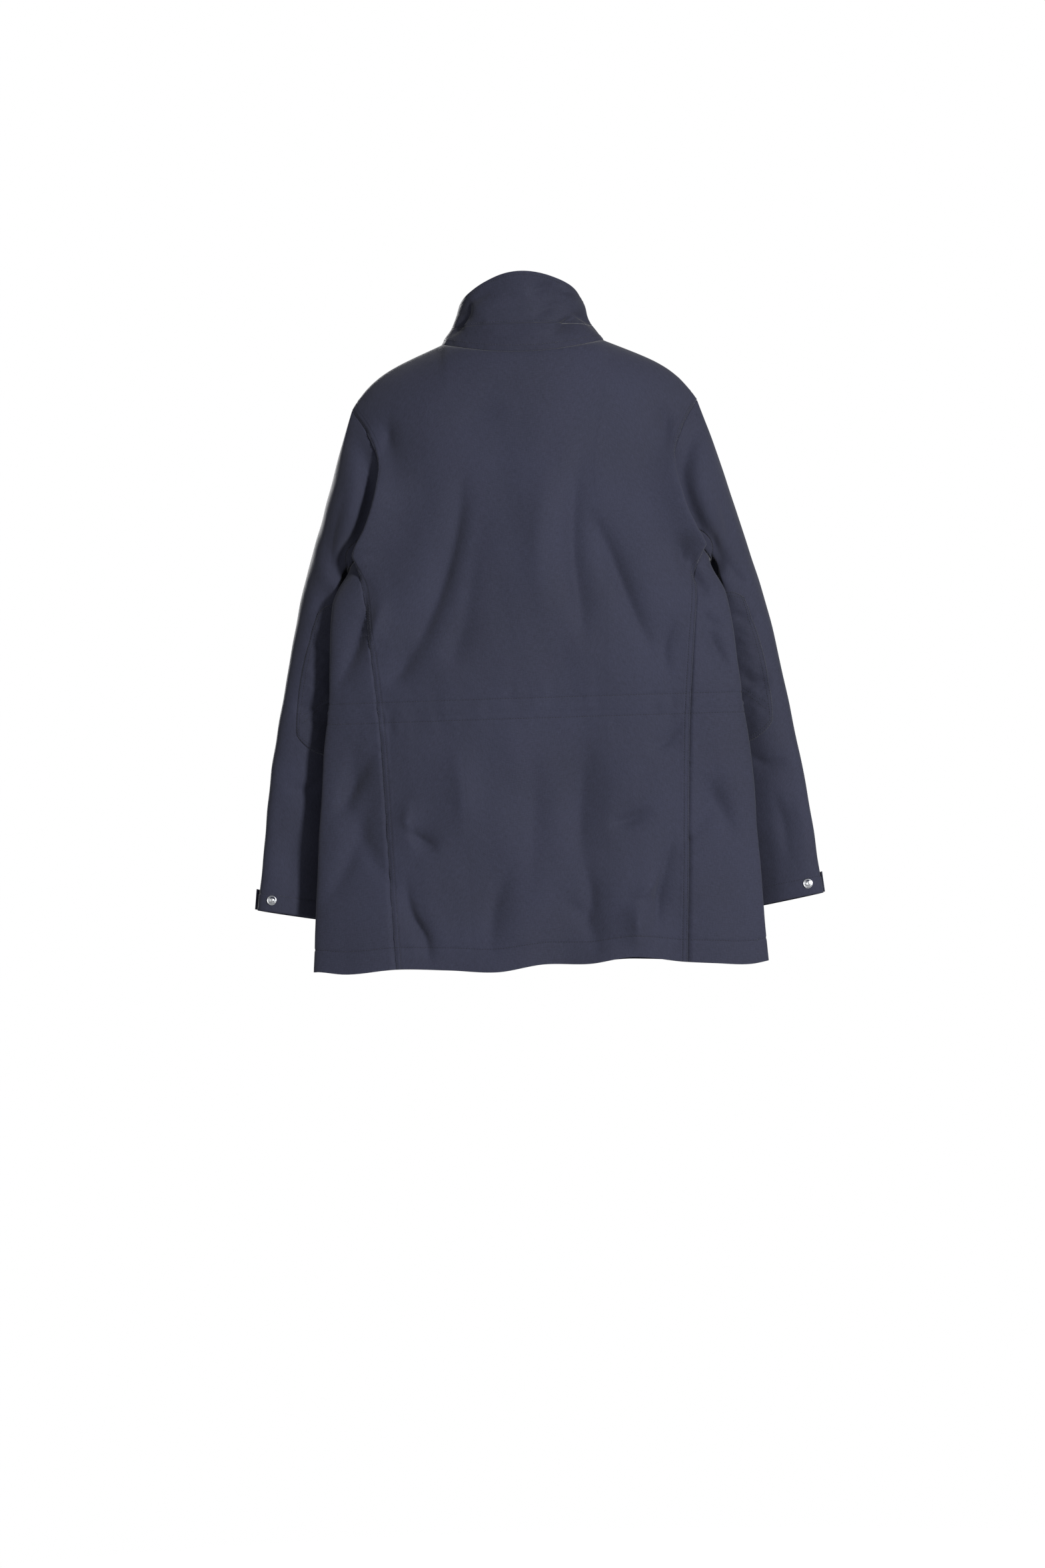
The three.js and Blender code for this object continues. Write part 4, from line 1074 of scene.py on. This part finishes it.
def add_waist():
    angles = np.linspace(-WAIST_TURN, math.pi + WAIST_TURN, 260)
    levels = np.linspace(WAIST_Z - CHANNEL_HALF, WAIST_Z + CHANNEL_HALF, 14)[:, None]
    rest = section_point(angles[None], levels, CHANNEL_INSET)
    hang_lining("waist_channel", rest, 0.5 * waves(rest, 44, 16, (1, 1, 3)), thick=0.5)
    add_cord(section_point(angles, np.full(angles.shape, WAIST_Z), CORD_INSET))


def add_cord(route):
    """The braided cord that lies in the waist channel, sewn in at both ends."""
    route = route + torso_offset(route)
    turns = np.linspace(0, 2 * math.pi, 10, endpoint=False)
    along = unit(np.gradient(route, axis=0))
    level = unit(np.cross(along, (0, 0, 1.0)))
    across, up = np.cos(turns)[None, :, None], np.sin(turns)[None, :, None]
    ring = across * level[:, None] + up * np.array([0, 0, 1.0])
    braid = CORD_RADIUS + 0.12 * np.cos(3 * turns[None] + 1.6 * np.arange(len(route))[:, None])
    grid = lifted(route[:, None], ring, braid)
    rows, cols = grid.shape[:2]
    index = np.arange(rows * cols).reshape(rows, cols)
    nxt = np.roll(index, -1, axis=1)
    faces = np.stack([index[:-1], index[1:], nxt[1:], nxt[:-1]], axis=-1).reshape(-1, 4).tolist()
    faces += [index[0].tolist(), index[-1][::-1].tolist()]
    cord = link("waist_cord_braid", grid.reshape(-1, 3), faces, CORD, "jacket")
    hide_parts("waist_cord")


# ---------------------------------------------------------------- sleeves and elbow patches
HEAD_V = (0, 0.0015, 0.004, 0.008)
SLEEVE_V = np.concatenate([HEAD_V, graded(0.013, 1.0, 0.0056, 0.0016, (0.967, 1.0), 0.012)])
SEAM_TUCK = 2.4


def sleeve_cloth(name, side, angles, sewing):
    rest, out = sleeve_surface(side, angles[None], SLEEVE_V[:, None], folded=False)
    grid, _ = sleeve_surface(side, angles[None], SLEEVE_V[:, None])
    arc = arc_lengths(rest)
    edge = np.minimum(arc, arc[:, -1:] - arc)
    height = -0.5 * (1 - smoothstep(0, 2.2, edge)) + 0.22 * waves(rest, 23, 12) * np.exp(-edge / 9)
    down = rest[..., 2] - rest[-1][None, :, 2]
    height += 0.5 * (1 - smoothstep(CUFF_ROW - 2, CUFF_ROW + 2, down)) - 0.6 * bell(down - CUFF_ROW, 1.2)
    height *= smoothstep(0, 6, from_armhole(rest))
    grid = lifted(grid, out, height)
    grid[0] -= SEAM_TUCK * out[0] + (side * 2 * SEAM_TUCK, 0, 0)
    piece = hung(name, grid, out, SHELL, rest=rest)
    sewing.sew(piece.inset("bottom", CUFF_ROW))
    return piece


def add_sleeve(side, label, sewing):
    upper = np.linspace(FRONT_SEAM, BACK_SEAM, 84)
    under = np.linspace(BACK_SEAM, FRONT_SEAM + 2 * math.pi, 46)
    piece = sleeve_cloth("sleeve_upper_" + label, side, upper, sewing)
    sewing.sew(piece.inset("right", 1.8, 0.03))
    sleeve_cloth("sleeve_under_" + label, side, under, sewing)
    turns = np.linspace(0, 2 * math.pi, 60, endpoint=False)
    levels = np.linspace(0.31, 0.972, 50)[:, None]
    inset = lerp(11, 5.5, np.clip((levels - 0.31) / 0.3, 0, 1))
    surface, out = sleeve_surface(side, turns[None], levels)
    tube = surface - out * inset[..., None]
    hung("sleeve_lining_" + label, tube, out, LINING, thick=0.5, wraps=True)


def add_elbow_patch(side, label, sewing):
    fine = np.array([0, 0.012, 0.025, 0.045, 0.07, 0.1, 0.125, 0.15, 0.18])
    steps = with_edges(fine, np.linspace(0.21, 0.79, 34))
    a, b = 2 * steps[None] - 1, 2 * steps[:, None] - 1
    p, q = a * np.sqrt(1 - 0.36 * b * b), b * np.sqrt(1 - 0.36 * a * a)
    angle = np.radians(ELBOW["deg"] + ELBOW["half_deg"] * p)
    base, out = sleeve_surface(side, angle, ELBOW["v"] + ELBOW["half_v"] * q)
    rim = np.minimum(1 - np.abs(a), 1 - np.abs(b)) * 42
    rows = sum(bell(rim - row - 0.2, 0.7) for row in PATCH_ROWS)
    height = 0.25 + 1.25 * smoothstep(0, 1.6, rim) - 0.35 * rows
    height += 0.35 * waves(base, 24, 13) * smoothstep(0, 4, rim)
    piece = hung("elbow_patch_" + label, lifted(base, out, height), out, TRIM, thick=1.2)
    sewing.sew_edges(piece, ("left", "right", "top", "bottom"), PATCH_ROWS, 0.03, 0.97)
    darts = (((0.46, 0.06), (0.62, 0.24), (0.9, 0.42)), ((0.1, 0.84), (0.4, 0.66), (0.92, 0.5)))
    for dart in darts:
        for shift in (0, 0.035):
            u, v = spline(dart, 40).T
            sewing.sew(piece.along(u, np.clip(v + shift, 0, 1)))


# ---------------------------------------------------------------- collar and hang loop
def add_collar(sewing):
    angles = np.radians(np.linspace(-90 + 3.6, 270 - 3.6, 190))[None]

    def part(name, shares, thick, raised_edge):
        shares = np.asarray(shares)[:, None]
        plain, out = collar_surface(angles, shares)
        edge = (shares - shares[0]) * 104
        height = -0.5 * (1 - smoothstep(0, 1.2, edge)) - 0.35 * bell(edge - raised_edge, 0.9)
        height = height + 0.25 * waves(plain, 25, 13) * bell(edge - raised_edge, 8)
        return hung(name, lifted(plain, out, height), out, TRIM, thick=thick)

    fine = np.array([0, 0.006, 0.013, 0.022, 0.035, 0.05, 0.062, 0.075, 0.09])
    stand = part("collar_stand", np.concatenate([fine, np.linspace(0.11, STAND_SHARE, 12)]), 2.6, 8)
    middle = np.linspace(STAND_SHARE + 0.07, 0.93, 22)
    fall = part("collar_fall", np.concatenate([STAND_SHARE + fine[:6], middle, 1 - fine[5::-1]]), 2.8, 3)
    sewing.sew(stand.inset("top", 8))
    sewing.sew(fall.inset("top", 2.5))
    sewing.sew(fall.inset("bottom", 4.5))
    for piece in (stand, fall):
        sewing.sew_edges(piece, ("left", "right"), (4,))
    shares = np.linspace(0.02, 0.975, 36)[:, None]
    inner, out = collar_surface(np.radians(np.linspace(-90 + 10, 270 - 10, 150))[None], shares)
    hung("collar_facing", inner - out * 3.4, -out, SHELL, thick=-1.4)


LOOP = {"half": 24.0, "slope": 2.0, "wall": 48.2, "reach": 10.5, "low": 12.0, "high": 20.0}


def add_hang_loop():
    front = LOOP["wall"] - LOOP["reach"]
    corner = LOOP["half"] - LOOP["slope"]
    right = ((corner - 3, front), (corner + 1, front + 3), (LOOP["half"], LOOP["wall"]))
    left = tuple((-x, y) for x, y in reversed(right))
    line = spline((*left, (0, front - 0.3), *right), 60)
    heights = np.linspace(LOOP["high"], LOOP["low"], 10)[:, None]
    grid = stack(line[None, :, 0], line[None, :, 1], heights)
    piece = Cloth("hang_loop_tape", grid, np.broadcast_to(FORWARD, grid.shape), TAPE, thick=1.3)
    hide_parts("hang_loop")


# ---------------------------------------------------------------- zip
TAPE_Y, TOOTH_PITCH, TOOTH_HEAD, TOOTH_NECK = -59.1, 3.0, 0.1, 1.5
TOOTH_OUTLINE = (
    (TOOTH_HEAD, -0.85), (TOOTH_NECK, -0.85), (TOOTH_NECK + 0.3, -0.5), (ZIP_CHAIN, -0.5),
    (ZIP_CHAIN, 0.5), (TOOTH_NECK + 0.3, 0.5), (TOOTH_NECK, 0.85), (TOOTH_HEAD, 0.85))
TOOTH_RINGS = ((-58.8, 1.0), (-62.4, 1.0), (-62.9, 0.8))  # each ring's y, and its size


def tooth_faces(base):
    """The faces of one tooth whose rings start at vertex number base."""
    count = len(TOOTH_OUTLINE)
    faces = []
    for ring in range(base, base + 2 * count, count):
        for j in range(count):
            k = (j + 1) % count
            faces.append((ring + j, ring + k, ring + count + k, ring + count + j))
    faces.append(tuple(base + j for j in reversed(range(count))))
    faces.append(tuple(base + 2 * count + j for j in range(count)))
    return faces


def add_zip(side, label):
    xs = side * np.array([ZIP_CHAIN + 0.3, 4.5, 6, 7.6, 9, 10.5, 12, 13.5, 15, ZIP_TAPE])
    zs = np.linspace(ZIP_TOP, ZIP_BOTTOM, 240)[:, None]
    rib = 0.12 * np.cos(np.arange(len(xs)) * math.pi)[None]
    grid = stack(xs[None], TAPE_Y + rib, zs)
    hung("zip_tape_" + label, grid, np.broadcast_to(FORWARD, grid.shape), TAPE, thick=0.7)
    vertices, faces = [], []
    middle = (TOOTH_HEAD + ZIP_CHAIN) / 2
    start = ZIP_TOP - 1.5 - (0 if side > 0 else TOOTH_PITCH / 2)
    for z in np.arange(start, ZIP_BOTTOM + 1.2, -TOOTH_PITCH):
        faces += tooth_faces(len(vertices))
        for y, size in TOOTH_RINGS:
            vertices += [(side * (middle + (x - middle) * size), y, z + h * size) for x, h in TOOTH_OUTLINE]
    if side < 0:
        faces = [face[::-1] for face in faces]
    chain = link("zip_teeth_" + label, vertices, faces, ZIP_METAL, "jacket", smooth=False)
    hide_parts("zip_chain_" + label)


def add_bevelled(node, material, body, width):
    """A finished copy of a hard CAD piece with its edges rounded."""
    source = bpy.data.objects[node]
    mesh = source.data.copy()
    mesh.name = node + "_metal"
    mesh.materials.clear()
    mesh.materials.append(material)
    item = bpy.data.objects.new(node + "_metal", mesh)
    bpy.context.scene.collection.objects.link(item)
    weld = item.modifiers.new("weld", "WELD")
    weld.merge_threshold = 1e-6
    bevel = item.modifiers.new("bevel", "BEVEL")
    bevel.width, bevel.segments, bevel.limit_method = width * MM, 3, "ANGLE"
    bevel.use_clamp_overlap = True
    bpy.context.view_layer.update()
    final = bpy.data.meshes.new_from_object(item.evaluated_get(bpy.context.evaluated_depsgraph_get()))
    item.modifiers.clear()
    item.data = final
    final.shade_smooth()
    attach(item, body)
    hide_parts(node)


# ---------------------------------------------------------------- storm flap, pockets and cuff tabs
def add_storm_flap():
    section = np.array(FLAP_SECTION)
    lengths = np.r_[0, np.cumsum(np.linalg.norm(np.diff(section, axis=0), axis=1))]
    fine = np.array([0, 0.5, 1.2, 2.2, 3, 3.8, 5.2, 7.4, 8.2, 9, 10.6])
    places = with_edges(fine, np.linspace(13, lengths[-1] - 13, 24), lengths[-1])
    x, y = np.interp(places, lengths, section[:, 0]), np.interp(places, lengths, section[:, 1])
    for _ in range(3):
        y[1:-1] = (y[:-2] + 2 * y[1:-1] + y[2:]) / 4
    zs = np.concatenate([FLAP_TOP - fine, np.linspace(FLAP_TOP - 14, FLAP_BOTTOM + 14, 180),
                         FLAP_BOTTOM + fine[::-1]])[:, None]
    rest = stack(x[None], y[None] - 2.4, zs)
    edge = np.minimum(np.minimum(FLAP_TOP - zs, zs - FLAP_BOTTOM), (lengths[-1] - places)[None])
    height = sewn_rim(edge, STORM_ROWS)
    height += 0.25 * waves(rest, 26, 16) * np.exp(-edge / 14) + 0.35 * (waves(rest, 27, 90) + 0.6)
    forward = np.broadcast_to(FORWARD, rest.shape)
    thick = 2.2 + 1.8 * (1 - smoothstep(1, 6, places))
    grid = lifted(rest, forward, height)
    piece = hung("storm_flap", grid, forward, SHELL, "storm_flap", thick=thick)
    sewing = Thread("storm_flap")
    sewing.sew_edges(piece, ("right", "top", "bottom"), STORM_ROWS)
    sewing.sew(piece.inset("left", 3))
    sewing.finish("storm_flap_stitches")
    for i, z in enumerate(FLAP_SNAP_Z):
        add_snap(f"flap_snap_cap_{i + 1}", CAP, (FLAP_SNAP_X, -71.3, z), FORWARD, "storm_flap")
        add_snap(f"flap_snap_stud_{i + 1}", STUD, (FLAP_SNAP_X, -FRONT_DEPTH - 0.2, z), FORWARD, "jacket")


def chest_patch(side, x0, x1, z0, z1, us, vs):
    """A patch of the front between two x and two z, with the direction out of it."""
    x = lerp(x0, x1, np.asarray(us))[None]
    z = lerp(z0, z1, np.asarray(vs))[:, None]
    x, z = np.broadcast_arrays(x, z)
    plain = stack(x, FRONT.y(x, z), z)
    slope = (FRONT.y(x + 1, z) - FRONT.y(x - 1, z)) / 2
    out = unit(stack(slope, -np.ones(x.shape), 0))
    return plain * (side, 1, 1), out * (side, 1, 1)


EDGE_SHARES = np.array([0, 0.006, 0.014, 0.024, 0.036, 0.05, 0.065, 0.08, 0.1])


def add_pocket(side, label, sewing):
    steps = with_edges(EDGE_SHARES, np.linspace(0.12, 0.88, 44))
    plain, out = chest_patch(side, POCKET["x0"], POCKET["x1"], POCKET["top"], POCKET["bottom"], steps, steps)
    width, height = POCKET["x1"] - POCKET["x0"], POCKET["top"] - POCKET["bottom"]
    u, v = steps[None] * width, steps[:, None] * height
    rim = np.minimum(np.minimum(u, width - u), height - v)
    swell = smoothstep(0, 1, np.clip(rim / 9, 0, 1) ** 0.7)
    lift = lerp(0.9, POCKET["depth"], swell) - 0.3 * bell(rim - 11.5, 0.9) - 0.3 * bell(rim - 5, 0.9) * swell
    lift += smoothstep(2, 14, rim) * (0.6 * waves(plain, 28, 60) - 0.3) + 0.15 * waves(plain, 29, 14)
    thick = np.minimum(1.4, lift - 0.3)
    piece = hung("pocket_" + label, lifted(plain, out, lift), out, SHELL, thick=thick)
    sewing.sew_edges(piece, ("left", "right"), (2.2,), 0.01, 0.985)
    sewing.sew(piece.inset("bottom", 2.2, 0.015, 0.985))
    sewing.sew(piece.inset("top", 12, 0.1, 0.9))


def add_pocket_flap(side, label):
    f, body = POCKET_FLAP, "pocket_flap_" + label
    us = with_edges(EDGE_SHARES, np.linspace(0.12, 0.88, 44))
    vs = np.concatenate([[0, 0.01, 0.03, 0.06], np.linspace(0.09, 0.84, 20), 1 - EDGE_SHARES[::-1] * 1.5])
    x0, x1 = POCKET["x0"] - f["margin"], POCKET["x1"] + f["margin"]
    plain, out = chest_patch(side, x0, x1, f["top"], f["bottom"], us, vs)
    width, height = x1 - x0, f["top"] - f["bottom"]
    u, v = us[None] * width, vs[:, None] * height
    rim = np.minimum(np.minimum(u, width - u), height - v)
    lift = lerp(1.4, f["over"], smoothstep(0, 0.3, vs[:, None])) + 2.4
    lift = lift + sewn_rim(rim, POCKET_FLAP_ROWS) + 0.2 * waves(plain, 30, 15)
    piece = hung(body, lifted(plain, out, lift), out, SHELL, body, thick=2.0)
    sewing = Thread(body)
    sewing.sew_edges(piece, ("left", "right", "bottom"), POCKET_FLAP_ROWS, 0.04, 0.96)
    sewing.sew(piece.inset("top", 2.5))
    sewing.finish(body + "_stitches")
    span = (POCKET["x0"], POCKET["x1"], f["top"], f["bottom"])
    middle, facing = chest_patch(side, *span, [0.5, 0.6], [0.74, 0.8])
    point, normal = middle[0, 0], facing[0, 0]
    add_snap("pocket_snap_cap_" + label, CAP, point + normal * (f["over"] + 2.6), normal, body)
    stud = point + normal * (POCKET["depth"] - 0.2)
    add_snap("pocket_snap_stud_" + label, FLAT_STUD, stud, normal, "jacket")


def add_cuff(side, label):
    for name, angle in (("back", CUFF_BACK), ("front", CUFF_FRONT)):
        place, out = sleeve_surface(side, np.array([angle]), np.array([CUFF_V]))
        add_snap(f"cuff_stud_{name}_{label}", STUD, place[0] + out[0] * 0.3, out[0], "jacket")
    body = "cuff_tab_" + label
    us = with_edges(EDGE_SHARES, np.linspace(0.12, 0.88, 36))
    vs = with_edges(EDGE_SHARES * 1.6, np.linspace(0.2, 0.8, 14))
    angle = lerp(TAB["from"], TAB["to"], us)[None]
    v = lerp(TAB["v0"], TAB["v1"], vs)[:, None]
    base, out = sleeve_surface(side, angle, v, folded=False)
    rim = np.minimum(np.minimum(vs, 1 - vs)[:, None] * 27, (1 - us)[None] * 100)
    lift = lerp(1.4, 5.6, smoothstep(0, 0.55, us))[None] + 1.9 + sewn_rim(rim, TAB_ROWS, 0.6, 1.3)
    piece = hung(body, lifted(base, out, lift), out, SHELL, body, thick=1.7)
    sewing = Thread(body)
    sewing.sew_edges(piece, ("top", "bottom", "right"), TAB_ROWS, 0.03, 0.97)
    sewing.finish(body + "_stitches")
    place, facing = sleeve_surface(side, np.array([CUFF_FRONT]), np.array([CUFF_V]), folded=False)
    add_snap("cuff_tab_cap_" + label, CAP, place[0] + facing[0] * 7.6, facing[0], body)


# ---------------------------------------------------------------- snaps
STUD = ((0, 0), (6.2, 0), (6.35, 0.4), (6.2, 0.95), (5.7, 1.25), (5.1, 1.15), (4.7, 0.4), (3.5, 0.3),
        (3.0, 0.95), (2.75, 1.5), (2.85, 2.4), (2.95, 2.9), (2.6, 3.3), (1.9, 3.45), (1.2, 3.3), (0, 3.2))
CAP = ((0, 0), (7.1, 0), (7.4, 0.35), (7.3, 0.8), (6.7, 1.25), (6.0, 1.3), (5.5, 1.15), (5.0, 1.35),
       (3.2, 1.75), (1.4, 1.95), (0, 2.0))
FLAT_STUD = ((0, 0), (4.8, 0), (5.0, 0.2), (4.8, 0.5), (2.6, 0.6), (0, 0.62))


def add_snap(node, profile, point, normal, body):
    vertices, faces = lathe(profile)
    item = link(node + "_metal", stood_on(vertices, point, normal), faces, STEEL, body)
    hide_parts(node)


# ---------------------------------------------------------------- the whole scene
def build():
    add_camera()
    add_studio()
    torso, sleeves = Thread("jacket"), Thread("jacket")
    add_back(torso)
    add_body_lining()
    add_upper_linings()
    add_waist()
    add_collar(torso)
    add_hang_loop()
    for side, label in ((1, "left"), (-1, "right")):
        add_front(side, "front_panel_" + label, torso)
        add_side(side, "side_panel_" + label, torso)
        add_sleeve(side, label, sleeves)
        add_elbow_patch(side, label, sleeves)
        add_pocket(side, label, torso)
        add_pocket_flap(side, label)
        add_zip(side, label)
        add_cuff(side, label)
    add_storm_flap()
    add_bevelled("zip_slider", ZIP_METAL, "zip_slider", 0.35)
    add_bevelled("zip_puller", ZIP_METAL, "zip_puller", 0.35)
    add_bevelled("zip_retainer", ZIP_METAL, "jacket", 0.8)
    torso.finish("torso_stitches")
    sleeves.finish("sleeve_stitches")


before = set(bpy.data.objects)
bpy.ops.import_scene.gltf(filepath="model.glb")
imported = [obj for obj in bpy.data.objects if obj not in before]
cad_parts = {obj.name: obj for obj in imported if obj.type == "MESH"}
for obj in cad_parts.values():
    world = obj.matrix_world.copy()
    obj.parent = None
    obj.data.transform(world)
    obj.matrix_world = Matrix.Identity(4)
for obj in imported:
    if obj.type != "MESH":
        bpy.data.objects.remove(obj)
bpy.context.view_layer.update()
build()
